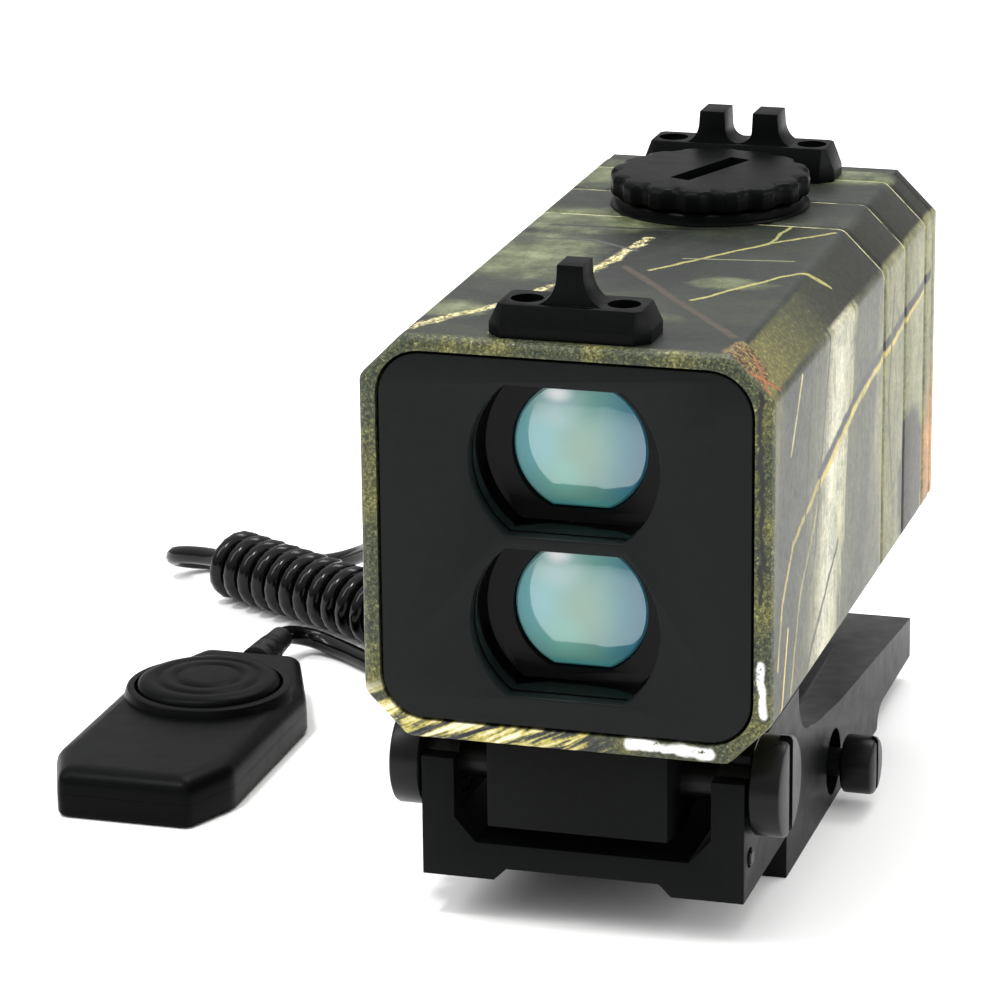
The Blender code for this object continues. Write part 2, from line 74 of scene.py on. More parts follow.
# ------------------------------------------------------------------ camera
def look(yaw, pitch, roll):
    sy, cy, sp, cp = math.sin(yaw), math.cos(yaw), math.sin(pitch), math.cos(pitch)
    fwd = Vector((-sy * cp, cy * cp, -sp))
    right = Vector((cy, sy, 0))
    up = right.cross(fwd)
    r = right * math.cos(roll) + up * math.sin(roll)
    u = up * math.cos(roll) - right * math.sin(roll)
    return Matrix((r, u, -fwd)).transposed()


cam_data = bpy.data.cameras.new("camera")
cam = bpy.data.objects.new("camera", cam_data)
bpy.context.scene.collection.objects.link(cam)
cam_data.sensor_width = 36.0
cam_data.lens = 4530.4 * 36.0 / 1000.0
cam_data.clip_start, cam_data.clip_end = 0.01, 20.0
cam.matrix_world = Matrix.Translation(V(113.78, -406.89, 157.95 + 21.69)) @ look(math.radians(16.46), math.radians(17.30), math.radians(-0.64)).to_4x4()
bpy.context.scene.camera = cam

col = bpy.data.collections.new("looks")
bpy.context.scene.collection.children.link(col)


# ------------------------------------------------------------------ node helpers
class Nodes:
    """Short ways to write a procedural material."""

    def __init__(self, name, rough=0.5, metal=0.0, spec=0.5):
        self.m = bpy.data.materials.new(name)
        self.m.use_nodes = True
        self.t = self.m.node_tree
        self.b = self.t.nodes["Principled BSDF"]
        self.b.inputs["Roughness"].default_value = rough
        self.b.inputs["Metallic"].default_value = metal
        self.b.inputs["Specular IOR Level"].default_value = spec
        co = self.t.nodes.new("ShaderNodeTexCoord")
        mp = self.t.nodes.new("ShaderNodeMapping")
        mp.inputs["Scale"].default_value = (1000, 1000, 1000)
        mp.inputs["Location"].default_value = (-OX, -OY, 0)
        self.t.links.new(co.outputs["Object"], mp.inputs["Vector"])
        self.p = mp.outputs["Vector"]

    def put(self, sock, v):
        if hasattr(v, "is_output"):
            self.t.links.new(v, sock)
        elif isinstance(v, (tuple, list)) and len(v) == 3 and sock.type == "RGBA":
            sock.default_value = (*v, 1.0)
        else:
            sock.default_value = v

    def math(self, op, a, b=0.0, c=None):
        n = self.t.nodes.new("ShaderNodeMath")
        n.operation = op
        self.put(n.inputs[0], a)
        self.put(n.inputs[1], b)
        if c is not None:
            self.put(n.inputs[2], c)
        return n.outputs[0]

    def stretch(self, scale, rot=(0, 0, 0), loc=(0, 0, 0)):
        n = self.t.nodes.new("ShaderNodeMapping")
        n.inputs["Scale"].default_value = scale
        n.inputs["Rotation"].default_value = [math.radians(r) for r in rot]
        n.inputs["Location"].default_value = loc
        self.put(n.inputs["Vector"], self.p)
        return n.outputs[0]

    def noise(self, scale, detail=3.0, rough=0.55, vec=None, dist=0.0):
        n = self.t.nodes.new("ShaderNodeTexNoise")
        self.put(n.inputs["Vector"], vec if vec is not None else self.p)
        n.inputs["Scale"].default_value = scale
        n.inputs["Detail"].default_value = detail
        n.inputs["Roughness"].default_value = rough
        n.inputs["Distortion"].default_value = dist
        return n.outputs["Fac"]

    def voronoi(self, scale, feature="F1", vec=None, rnd=1.0):
        n = self.t.nodes.new("ShaderNodeTexVoronoi")
        n.feature = feature
        self.put(n.inputs["Vector"], vec if vec is not None else self.p)
        n.inputs["Scale"].default_value = scale
        n.inputs["Randomness"].default_value = rnd
        return n.outputs["Distance"]

    def wave(self, scale, vec, dist=0.0, detail=2.0, dscale=1.0):
        n = self.t.nodes.new("ShaderNodeTexWave")
        self.put(n.inputs["Vector"], vec)
        n.inputs["Scale"].default_value = scale
        n.inputs["Distortion"].default_value = dist
        n.inputs["Detail"].default_value = detail
        n.inputs["Detail Scale"].default_value = dscale
        return n.outputs["Fac"]

    def ramp(self, fac, stops, interp="LINEAR"):
        n = self.t.nodes.new("ShaderNodeValToRGB")
        n.color_ramp.interpolation = interp
        els = n.color_ramp.elements
        while len(els) < len(stops):
            els.new(0.5)
        for e, (pos, c) in zip(els, stops):
            e.position = pos
            e.color = (*c, 1.0) if isinstance(c, tuple) else (c, c, c, 1.0)
        self.put(n.inputs["Fac"], fac)
        return n.outputs["Color"]

    def step(self, v, lo, hi):
        n = self.t.nodes.new("ShaderNodeMapRange")
        n.interpolation_type = "SMOOTHSTEP"
        self.put(n.inputs["Value"], v)
        n.inputs["From Min"].default_value = lo
        n.inputs["From Max"].default_value = hi
        return n.outputs["Result"]

    def mix(self, fac, a, b, mode="MIX"):
        n = self.t.nodes.new("ShaderNodeMix")
        n.data_type = "RGBA"
        n.blend_type = mode
        self.put(n.inputs["Factor"], fac)
        self.put([s for s in n.inputs if s.name == "A" and s.type == "RGBA"][0], a)
        self.put([s for s in n.inputs if s.name == "B" and s.type == "RGBA"][0], b)
        return [s for s in n.outputs if s.type == "RGBA"][0]

    def axes(self):
        n = self.t.nodes.new("ShaderNodeSeparateXYZ")
        self.put(n.inputs[0], self.p)
        return n.outputs[0], n.outputs[1], n.outputs[2]

    def normal_axes(self):
        g = self.t.nodes.new("ShaderNodeNewGeometry")
        n = self.t.nodes.new("ShaderNodeSeparateXYZ")
        self.put(n.inputs[0], g.outputs["Normal"])
        return n.outputs[0], n.outputs[1], n.outputs[2]

    def bump(self, height, strength=0.2, dist=0.0002):
        n = self.t.nodes.new("ShaderNodeBump")
        n.inputs["Strength"].default_value = strength
        n.inputs["Distance"].default_value = dist
        self.put(n.inputs["Height"], height)
        self.t.links.new(n.outputs["Normal"], self.b.inputs["Normal"])

    def color(self, c):
        self.put(self.b.inputs["Base Color"], c)
        return self


# ------------------------------------------------------------------ materials
def camo():
    n = Nodes("camo_print", 0.42, 0.0, 0.25)
    x, y, z = n.axes()
    ax_ = n.math("ABSOLUTE", x)
    wob = n.math("MULTIPLY_ADD", n.noise(0.4, 3), 1.6, -0.8)

    def line(u, v, pts, width, wobble=1.0):
        """How far inside a painted line through the points, 0 to 1."""
        out = None
        uu = n.math("ADD", u, n.math("MULTIPLY", wob, wobble))
        for (u0, v0), (u1, v1) in zip(pts, pts[1:]):
            du, dv = u1 - u0, v1 - v0
            l2 = du * du + dv * dv
            pu, pv = n.math("SUBTRACT", uu, u0), n.math("SUBTRACT", v, v0)
            t = n.math("MULTIPLY_ADD", pu, du / l2, n.math("MULTIPLY", pv, dv / l2))
            t = n.math("MINIMUM", n.math("MAXIMUM", t, 0.0), 1.0)
            eu, ev = n.math("SUBTRACT", pu, n.math("MULTIPLY", t, du)), n.math("SUBTRACT", pv, n.math("MULTIPLY", t, dv))
            d = n.math("SQRT", n.math("ADD", n.math("MULTIPLY", eu, eu), n.math("MULTIPLY", ev, ev)))
            m = n.step(d, width, width * 0.35)
            out = m if out is None else n.math("MAXIMUM", out, m)
        return out

    def spot(u, v, c, r, soft=1.5, rag=3.0):
        du, dv = n.math("DIVIDE", n.math("SUBTRACT", u, c[0]), r[0]), n.math("DIVIDE", n.math("SUBTRACT", v, c[1]), r[1])
        d = n.math("SQRT", n.math("ADD", n.math("MULTIPLY", du, du), n.math("MULTIPLY", dv, dv)))
        d = n.math("ADD", d, n.math("MULTIPLY_ADD", n.noise(0.3, 4, 0.6), rag * 0.2, -rag * 0.1))
        return n.step(d, 1.0 + soft * 0.12, 1.0 - soft * 0.12)

    top = n.step(z, 62.9, 63.3)
    side = n.step(ax_, 20.3, 20.75)
    low = n.step(z, 40.0, 24.0)
    fine = n.noise(2.2, 4, 0.75)
    # top: charcoal green with khaki leaf shapes on the left
    c = n.ramp(n.noise(0.07, 4, 0.6, dist=0.6), [(0.36, (0.007, 0.009, 0.0075)), (0.5, (0.016, 0.020, 0.016)), (0.66, (0.034, 0.038, 0.026))])
    pale = n.ramp(n.noise(0.22, 4, 0.6), [(0.35, (0.06, 0.07, 0.035)), (0.52, (0.15, 0.165, 0.09)), (0.7, (0.30, 0.32, 0.20))])
    for cc, rr in (((-12.6, 34.0), (6.5, 9.0)), ((-11.5, 50.0), (8.5, 5.0)), ((-15.5, 71.0), (5.0, 6.0)), ((11.0, 76.0), (7.0, 3.5)), ((3.0, 12.5), (5.0, 1.6)), ((-14.5, 11.0), (3.5, 3.0)), ((10.0, 27.0), (4.0, 2.2))):
        c = n.mix(n.math("MULTIPLY", spot(x, y, cc, rr, 3.0, 5.0), 0.85), c, pale)
    # chamfers: khaki at the front, almost black olive towards the rear
    ch = n.ramp(n.math("DIVIDE", n.math("ADD", y, n.math("MULTIPLY_ADD", n.noise(0.15, 3), 16.0, -8.0)), 82.0),
                [(0.0, (0.13, 0.115, 0.04)), (0.12, (0.085, 0.083, 0.030)), (0.25, (0.055, 0.056, 0.024)), (0.36, (0.020, 0.022, 0.013)), (0.5, (0.009, 0.010, 0.006)), (1.0, (0.009, 0.010, 0.007))])
    ch = n.mix(n.step(fine, 0.52, 0.62), ch, n.mix(1.0, ch, (1.7, 1.6, 1.2), "MULTIPLY"))
    c = n.mix(top, ch, c)
    # sides: upright bark and trunk bands that lean a little
    lean = n.math("SUBTRACT", y, n.math("MULTIPLY_ADD", z, 0.26, -13.0))
    streak = n.noise(1.0, 4, 0.6, n.stretch((0.9, 0.55, 0.06)))
    u = n.math("DIVIDE", n.math("ADD", lean, n.math("MULTIPLY_ADD", streak, 7.0, -3.5)), 82.0)
    sd = n.ramp(u, [(0.0, (0.14, 0.13, 0.05)), (0.03, (0.075, 0.078, 0.048)), (0.07, (0.045, 0.05, 0.038)), (0.15, (0.052, 0.058, 0.044)), (0.22, (0.085, 0.09, 0.062)), (0.27, (0.16, 0.16, 0.105)),
                    (0.31, (0.48, 0.46, 0.35)), (0.36, (0.68, 0.66, 0.56)), (0.43, (0.42, 0.41, 0.27)), (0.45, (0.10, 0.105, 0.065)), (0.53, (0.075, 0.08, 0.05)), (0.585, (0.06, 0.065, 0.042)),
                    (0.61, (0.22, 0.22, 0.125)), (0.68, (0.28, 0.275, 0.155)), (0.78, (0.20, 0.20, 0.11)), (0.86, (0.30, 0.295, 0.17)), (1.0, (0.24, 0.24, 0.14))])
    bark = n.ramp(n.noise(1.0, 5, 0.75, n.stretch((2.4, 1.6, 0.22))), [(0.36, 0.35), (0.52, 0.5), (0.68, 0.72)])
    sd = n.mix(0.75, sd, bark, "OVERLAY")
    sd = n.mix(n.math("MULTIPLY", spot(y, z, (68.2, 31.5), (6.5, 8.5), 1.0, 3.0), 0.95), sd, (0.022, 0.019, 0.014))
    sd = n.mix(spot(y, z, (80.0, 31.0), (4.4, 8.5), 4.0, 2.5), sd, (0.52, 0.27, 0.10))
    sd = n.mix(n.math("MULTIPLY", spot(y, z, (46.0, 27.0), (6.5, 13.0), 3.0, 4.0), 0.7), sd, (0.035, 0.038, 0.028))
    sd = n.mix(line(z, y, [(44.9, 20.5), (48.7, 40.3), (51.7, 74.0)], 0.75, 0.5), sd, (0.62, 0.50, 0.12))
    sd = n.mix(line(z, y, [(45.9, 20.5), (49.6, 40.3), (52.6, 78.0)], 0.85, 0.5), sd, (0.018, 0.02, 0.026))
    sd = n.mix(line(z, y, [(45.2, 21.0), (42.2, 9.0), (37.5, 4.4), (31.5, 2.6)], 0.5, 0.6), sd, (0.50, 0.40, 0.10))
    sd = n.mix(line(z, y, [(43.5, 21.0), (36.0, 12.5), (27.0, 8.5)], 0.45, 0.8), sd, (0.34, 0.31, 0.14))
    sd = n.mix(line(z, y, [(58.6, 12.6), (55.1, 10.2), (51.8, 7.8)], 0.42, 0.3), sd, (0.66, 0.58, 0.24))
    sd = n.mix(line(z, y, [(57.0, 17.0), (40.0, 14.0)], 0.35, 0.8), sd, (0.022, 0.024, 0.02))
    mott = n.ramp(n.noise(0.28, 6, 0.72, dist=0.9), [(0.34, (0.34, 0.36, 0.32)), (0.48, (0.62, 0.63, 0.56)), (0.62, (0.82, 0.80, 0.70))])
    sd = n.mix(1.0, sd, mott, "MULTIPLY")
    for pts, w, cc in (([(60.0, 26.0), (48.0, 22.0), (38.0, 19.0)], 0.4, (0.030, 0.033, 0.026)), ([(36.0, 30.0), (28.0, 17.0), (23.0, 12.0)], 0.55, (0.040, 0.040, 0.030)),
                       ([(56.0, 58.0), (44.0, 55.5), (33.0, 58.0)], 0.5, (0.055, 0.058, 0.038)), ([(30.0, 50.0), (24.5, 33.0)], 0.6, (0.045, 0.046, 0.032)), ([(34.0, 7.0), (25.0, 4.0)], 0.4, (0.55, 0.42, 0.12))):
        sd = n.mix(line(z, y, pts, w, 0.9), sd, cc)
    c = n.mix(side, c, sd)
    c = n.mix(1.0, c, n.mix(top, (1.0, 1.0, 1.0), (0.66, 0.70, 0.62)), "MULTIPLY")
    # straws and twigs on the top
    broken = n.step(n.noise(0.9, 5, 0.8, n.stretch((1.2, 0.8, 1.0), (0, 0, -25))), 0.40, 0.56)
    straw = n.math("MULTIPLY", line(x, y, [(-16.8, 2.6), (-15.8, 4.6), (-10.0, 13.9), (-6.6, 23.0), (-4.4, 30.5), (-2.6, 43.5)], 0.85, 1.3), broken)
    c = n.mix(n.math("MULTIPLY", straw, top), c, n.ramp(fine, [(0.38, (0.10, 0.095, 0.045)), (0.48, (0.40, 0.35, 0.13)), (0.60, (0.80, 0.74, 0.42))]))
    for pts, w, cc in (([(0.9, 30.4), (10.3, 44.3), (16.0, 50.5)], 0.34, (0.30, 0.28, 0.09)), ([(8.1, 19.8), (14.8, 31.1), (18.5, 36.0)], 0.34, (0.30, 0.28, 0.09)),
                       ([(10.3, 44.3), (10.8, 52.0)], 0.3, (0.26, 0.26, 0.10)), ([(3.0, 36.0), (14.5, 37.5)], 0.25, (0.16, 0.17, 0.09)),
                       ([(-1.8, 31.2), (6.5, 19.4), (15.3, 7.2)], 0.6, (0.045, 0.034, 0.024)), ([(-19.0, 40.0), (-8.0, 41.5), (-2.5, 38.0)], 0.4, (0.045, 0.05, 0.04)),
                       ([(-14.0, 47.0), (2.0, 47.6)], 0.5, (0.02, 0.024, 0.018)), ([(-8.0, 3.0), (-5.5, 9.0)], 0.5, (0.32, 0.30, 0.12))):
        c = n.mix(n.math("MULTIPLY", line(x, y, pts, w, 0.6), n.math("SUBTRACT", 1.0, side)), c, cc)
    c = n.mix(n.math("MULTIPLY", spot(x, y, (17.6, 3.0), (2.1, 3.4), 1.0, 4.0), n.step(z, 50.0, 56.0)), c, n.ramp(fine, [(0.44, (0.045, 0.016, 0.012)), (0.60, (0.22, 0.17, 0.05))]))
    for pts in ([(18.0, 5.0), (20.6, 0.6)], [(18.2, 1.2), (20.5, 4.2)]):
        c = n.mix(n.math("MULTIPLY", line(x, y, pts, 0.3, 0.3), n.step(z, 52.0, 56.0)), c, (0.24, 0.085, 0.035))
    # painted highlights: pale lines along the three grooves, strongest on the top and chamfers; painted shade: a dark
    # line down each groove
    for yg in (52.9, 64.2, 75.2):
        gm = n.step(n.math("ABSOLUTE", n.math("SUBTRACT", y, yg - 0.55)), 0.48, 0.2)
        up = n.math("MULTIPLY_ADD", n.step(z, 55.5, 59.5), 0.85, 0.1)
        c = n.mix(n.math("MULTIPLY", gm, n.math("MULTIPLY", up, n.step(n.noise(0.5, 3), 0.30, 0.55))), c, (0.80, 0.76, 0.42))
        # painted shade down the middle of each groove
        c = n.mix(n.step(n.math("ABSOLUTE", n.math("SUBTRACT", y, yg)), 0.22, 0.1), c, (0.012, 0.013, 0.010))
    # printed grain over all of it
    c = n.mix(0.55, c, n.ramp(fine, [(0.34, 0.26), (0.5, 0.5), (0.66, 0.78)]), "OVERLAY")
    # the front rim, where the film is stretched: stippled, with torn stripes below
    st = n.noise(2.6, 4, 0.8, n.stretch((1.0, 1.0, 1.0), (0, 30, 0)), 0.6)
    tone = n.noise(0.11, 3, 0.5, n.stretch((1, 1, 1), (0, 0, 0), (4, 0, 9)))
    dull = n.ramp(st, [(0.36, (0.016, 0.020, 0.016)), (0.5, (0.048, 0.056, 0.036)), (0.62, (0.17, 0.165, 0.085)), (0.74, (0.52, 0.48, 0.28))])
    warm = n.ramp(st, [(0.36, (0.030, 0.030, 0.015)), (0.50, (0.13, 0.118, 0.042)), (0.62, (0.34, 0.30, 0.12)), (0.74, (0.76, 0.70, 0.42))])
    rim = n.mix(1.0, n.mix(n.step(tone, 0.47, 0.64), dull, warm), (0.66, 0.72, 0.62), "MULTIPLY")
    ca, sa = math.cos(math.radians(27)), math.sin(math.radians(27))
    along = n.math("MULTIPLY", n.math("ADD", n.math("MULTIPLY", x, ca), n.math("MULTIPLY", z, sa)), 0.11)
    across = n.math("MULTIPLY", n.math("SUBTRACT", n.math("MULTIPLY", z, ca), n.math("MULTIPLY", x, sa)), 0.95)
    cv = n.t.nodes.new("ShaderNodeCombineXYZ")
    n.put(cv.inputs[0], along)
    n.put(cv.inputs[1], across)
    wv = n.math("ADD", n.math("MULTIPLY", n.noise(1.0, 3, 0.6, cv.outputs[0], 0.3), 1.05), n.math("MULTIPLY", n.noise(2.4, 3, 0.7), 0.18))
    torn = n.ramp(wv, [(0.54, (0.014, 0.015, 0.022)), (0.61, (0.075, 0.08, 0.055)), (0.67, (0.45, 0.38, 0.08)), (0.78, (0.84, 0.80, 0.55))])
    rim = n.mix(n.math("MULTIPLY", n.step(z, 28.5, 24.5), n.step(x, 8.0, 0.0)), rim, torn)
    flake = n.math("MAXIMUM", line(z, x, [(23.3, 6.6), (22.8, 14.8)], 0.72, 1.1), line(x, z, [(19.8, 32.5), (20.2, 27.4)], 0.62, 0.8))
    rim = n.mix(n.math("MULTIPLY", flake, n.step(n.noise(0.8, 4, 0.7), 0.36, 0.46)), rim, (0.88, 0.88, 0.86))
    rim = n.mix(line(x, z, [(19.6, 60.0), (19.9, 47.0), (19.8, 39.0)], 0.35, 1.2), rim, (0.02, 0.02, 0.018))
    c = n.mix(n.step(y, 1.6, 0.7), c, rim)
    n.color(c)
    n.put(n.b.inputs["Roughness"], n.math("MULTIPLY_ADD", n.noise(1.2, 3), 0.22, 0.32))
    n.b.inputs["Coat Weight"].default_value = 0.08
    n.b.inputs["Coat Roughness"].default_value = 0.35
    n.bump(n.noise(4.5, 3, 0.7), 0.35, 0.00012)
    return n.m


def dark(name, base, rough, metal=0.0, grain=6.0, bump=0.15, spec=0.5, coat=0.0, var=0.35):
    n = Nodes(name, rough, metal, spec)
    n.color(n.mix(n.noise(grain * 0.25, 3), tuple(v * (1 - var) for v in base), tuple(v * (1 + var) for v in base)))
    n.put(n.b.inputs["Roughness"], n.math("MULTIPLY_ADD", n.noise(0.5, 3), 0.16, rough - 0.08))
    n.b.inputs["Coat Weight"].default_value = coat
    n.b.inputs["Coat Roughness"].default_value = 0.2
    n.bump(n.noise(grain, 2, 0.6), bump, 0.00006)
    return n.m


def lens_mat(name, cz):
    n = Nodes(name, 0.05, 0.0, 0.9)
    x, y, z = n.axes()
    u = n.math("DIVIDE", x, 7.0)
    v = n.math("DIVIDE", n.math("SUBTRACT", z, cz), 6.4)

    def blob(cu, cv, r0, r1, su=1.0, sv=1.0):
        a = n.math("POWER", n.math("MULTIPLY", n.math("SUBTRACT", u, cu), su), 2.0)
        b = n.math("POWER", n.math("MULTIPLY", n.math("SUBTRACT", v, cv), sv), 2.0)
        return n.step(n.math("SQRT", n.math("ADD", a, b)), r1, r0)
    # coating colour and painted reflection: teal-to-blue bands and blobs laid out by position on the lens, with
    # white-cyan painted highlights towards the upper left
    c = n.mix(n.step(u, -0.1, 0.95), (0.40, 0.72, 0.62), (0.12, 0.40, 0.58))
    c = n.mix(blob(-0.78, 0.1, 0.1, 1.0, 1.0, 0.7), c, (0.50, 0.88, 0.96))
    c = n.mix(blob(0.04, -0.05, 0.0, 0.62, 1.0, 0.6), c, (0.50, 0.66, 0.52))
    c = n.mix(blob(-0.36, 0.72, 0.08, 0.62, 1.0, 1.1), c, (0.88, 1.0, 1.0))
    c = n.mix(blob(-0.25, -0.50, 0.0, 0.5), c, (0.50, 0.90, 0.76))
    c = n.mix(n.step(v, -0.78, -0.98), c, (0.22, 0.72, 0.74))
    c = n.mix(1.0, c, (0.40, 0.55, 0.54), "MULTIPLY")
    c = n.mix(blob(-0.34, 0.84, 0.02, 0.30, 1.0, 1.6), c, (0.95, 1.0, 1.0))
    n.color(c)
    # painted glow: the lens is made faintly self-lit in its own colours
    n.put(n.b.inputs["Emission Color"], c)
    n.b.inputs["Emission Strength"].default_value = 0.06
    n.b.inputs["Coat Weight"].default_value = 0.6
    n.b.inputs["Coat Roughness"].default_value = 0.03
    return n.m


M_CAMO = camo()
M_PANEL = dark("panel_black", (0.0032, 0.0038, 0.0040), 0.38, 0, 3.0, 0.05, 0.13)
M_RECESS = dark("recess_gloss", (0.0008, 0.0006, 0.0006), 0.12, 0, 2.0, 0.04, 0.10, 0.0)
M_MATTE = dark("matte_black", (0.0020, 0.0023, 0.0023), 0.33, 0, 7.0, 0.35, 0.045)
M_ANOD = dark("black_anodised", (0.0026, 0.0030, 0.0031), 0.38, 0.0, 8.0, 0.35, 0.07)
M_STEEL = dark("dark_steel", (0.0032, 0.0034, 0.0034), 0.30, 0.0, 7.0, 0.2, 0.16)
M_RUBBER = dark("black_rubber", (0.0035, 0.0037, 0.0037), 0.40, 0, 8.0, 0.15, 0.16)
M_CORD = dark("cord_jacket", (0.0014, 0.0015, 0.0015), 0.17, 0, 5.0, 0.05, 0.20)
M_SWITCH = dark("switch_plastic", (0.0018, 0.0021, 0.0020), 0.33, 0, 8.0, 0.35, 0.045)
M_PAD = dark("pad_rubber", (0.0014, 0.0016, 0.0017), 0.38, 0, 10.0, 0.25, 0.045)
M_UP = lens_mat("upper_lens_coating_painted_reflection", Z_UP)
M_LOW = lens_mat("lower_lens_coating_painted_reflection", Z_LOW)
M_BOARD = dark("board_green", (0.03, 0.16, 0.07), 0.45, 0, 2.0, 0.1)
M_CELL = dark("cell_wrap", (0.25, 0.25, 0.28), 0.35, 0, 1.0, 0.05)
M_METAL = dark("contact_metal", (0.6, 0.6, 0.58), 0.3, 1.0, 3.0, 0.1, var=0.1)
BY_SLOT = {"camo_print": M_CAMO, "panel_black": M_PANEL, "matte_black": M_MATTE, "coated_lens": M_UP, "board_green": M_BOARD, "cell_wrap": M_CELL,
           "contact_metal": M_METAL, "black_rubber": M_RUBBER, "dark_steel": M_STEEL, "black_anodised": M_ANOD}
SLOT = {s["node"]: s["material_slot"] for s in frame["record"]["subparts"]}
for name, ob in frame["nodes"].items():
    m = BY_SLOT[SLOT[name]]
    if name == "lower_lens":
        m = M_LOW
    if not ob.material_slots:
        ob.data.materials.append(m)
    for s in ob.material_slots:
        s.material = m


# ------------------------------------------------------------------ shape helpers
def obj(me, name, mat, smooth=35):
    ob = bpy.data.objects.new(name, me)
    col.objects.link(ob)
    if mat:
        me.materials.clear()
        me.materials.append(mat)
    me.shade_smooth()
    me.set_sharp_from_angle(angle=math.radians(smooth))
    return ob


def from_bm(bm, name, mat, smooth=35):
    bmesh.ops.recalc_face_normals(bm, faces=bm.faces)
    me = bpy.data.meshes.new(name)
    bm.to_mesh(me)
    bm.free()
    return obj(me, name, mat, smooth)


PLANES = {"XY": Matrix(((1, 0, 0), (0, 1, 0), (0, 0, 1))), "XZ": Matrix(((1, 0, 0), (0, 0, -1), (0, 1, 0))), "YZ": Matrix(((0, 0, 1), (1, 0, 0), (0, 1, 0)))}


def outline(name, loops, lo, hi, plane, mat=None):
    cu = bpy.data.curves.new(name + "_o", "CURVE")
    cu.dimensions = "2D"
    cu.fill_mode = "BOTH"
    cu.extrude = (hi - lo) / 2 * MM
    for loop in loops:
        sp = cu.splines.new("POLY")
        sp.points.add(len(loop) - 1)
        for p, (a, b) in zip(sp.points, loop):
            p.co = (a * MM, b * MM, 0.0, 1.0)
        sp.use_cyclic_u = True
    tmp = bpy.data.objects.new(name + "_t", cu)
    col.objects.link(tmp)
    bpy.context.view_layer.update()
    me = bpy.data.meshes.new_from_object(tmp.evaluated_get(bpy.context.evaluated_depsgraph_get()))
    bpy.data.objects.remove(tmp, do_unlink=True)
    bm = bmesh.new()
    bm.from_mesh(me)
    bpy.data.meshes.remove(me)
    bmesh.ops.remove_doubles(bm, verts=bm.verts, dist=0.000002)
    bmesh.ops.dissolve_limit(bm, angle_limit=math.radians(1), verts=bm.verts, edges=bm.edges)
    mid = (lo + hi) / 2
    shift = {"XY": V(0, 0, mid), "XZ": V(0, mid, 0), "YZ": V(mid, 0, 0)}[plane]
    bm.transform(Matrix.Translation(shift) @ PLANES[plane].to_4x4())
    return from_bm(bm, name, mat)


def turned(name, axis, c, profile, mat=None, segs=96, smooth=30):
    """A turned piece: profile of (radius, position along the axis), closed to the axis at its ends."""
    bm = bmesh.new()
    rings = []
    for r, h in profile:
        ring = []
        for i in range(segs if r > 1e-6 else 1):
            a = 2 * math.pi * i / segs
            p, q = r * math.cos(a), r * math.sin(a)
            co = {"Z": V(c[0] + p, c[1] + q, h), "X": V(h, c[0] + p, c[1] + q), "Y": V(c[0] + p, h, c[1] + q)}[axis]
            ring.append(bm.verts.new(co))
        rings.append(ring)
    for a, b in zip(rings, rings[1:]):
        if len(a) == 1 and len(b) == 1:
            continue
        for i in range(segs):
            j = (i + 1) % segs
            if len(a) == 1:
                bm.faces.new((a[0], b[i], b[j]))
            elif len(b) == 1:
                bm.faces.new((a[i], b[0], a[j]))
            else:
                bm.faces.new((a[i], b[i], b[j], a[j]))
    for ring in (rings[0], rings[-1]):
        if len(ring) > 1:
            bm.faces.new(ring)
    return from_bm(bm, name, mat, smooth)


def box(name, x0, x1, y0, y1, z0, z1, mat=None):
    bm = bmesh.new()
    bmesh.ops.create_cube(bm, size=1.0)
    bm.transform(Matrix.Translation((V(x0, y0, z0) + V(x1, y1, z1)) / 2) @ Matrix.Diagonal(((x1 - x0) * MM, (y1 - y0) * MM, (z1 - z0) * MM, 1)))
    return from_bm(bm, name, mat)


def apply(ob, smooth=35):
    """Turn the object's modifiers into plain mesh."""
    bpy.context.view_layer.update()
    me = bpy.data.meshes.new_from_object(ob.evaluated_get(bpy.context.evaluated_depsgraph_get()))
    mats = [m for m in ob.data.materials]
    ob.modifiers.clear()
    ob.data = me
    if not me.materials and mats:
        me.materials.append(mats[0])
    me.shade_smooth()
    me.set_sharp_from_angle(angle=math.radians(smooth))
    return ob


def boolean(ob, op, others):
    for o in others:
        m = ob.modifiers.new("b", "BOOLEAN")
        m.operation, m.solver, m.object = op, "EXACT", o
    apply(ob)
    keep = ob.data.materials[0] if ob.data.materials else None
    for o in others:
        bpy.data.objects.remove(o, do_unlink=True)
    if keep:
        ob.data.materials.clear()
        ob.data.materials.append(keep)
        ob.data.polygons.foreach_set("material_index", [0] * len(ob.data.polygons))
    return ob


def cut(ob, *others):
    return boolean(ob, "DIFFERENCE", others)


def join(ob, *others):
    return boolean(ob, "UNION", others)


def soften(ob, width, segs=3, angle=32, smooth=40):
    bm = bmesh.new()
    bm.from_mesh(ob.data)
    bmesh.ops.remove_doubles(bm, verts=bm.verts, dist=0.000004)
    bmesh.ops.dissolve_limit(bm, angle_limit=math.radians(0.6), verts=bm.verts, edges=bm.edges)
    bm.to_mesh(ob.data)
    bm.free()
    m = ob.modifiers.new("edge", "BEVEL")
    m.width, m.segments, m.limit_method, m.angle_limit = width * MM, segs, "ANGLE", math.radians(angle)
    m.harden_normals = False
    return apply(ob, smooth)


def rounded(x0, x1, z0, z1, r, n=8):
    pts = []
    for cx, cz, a0 in ((x1 - r, z0 + r, -90), (x1 - r, z1 - r, 0), (x0 + r, z1 - r, 90), (x0 + r, z0 + r, 180)):
        for i in range(n + 1):
            a = math.radians(a0 + 90 * i / n)
            pts.append((cx + r * math.cos(a), cz + r * math.sin(a)))
    return pts


def truncated(r, h, cz, n=20, cx=0.0):
    a = math.asin(h / r)
    pts = [(cx + r * math.cos(-a + 2 * a * i / n), cz + r * math.sin(-a + 2 * a * i / n)) for i in range(n + 1)]
    return pts + [(2 * cx - x, 2 * cz - z) for x, z in pts]


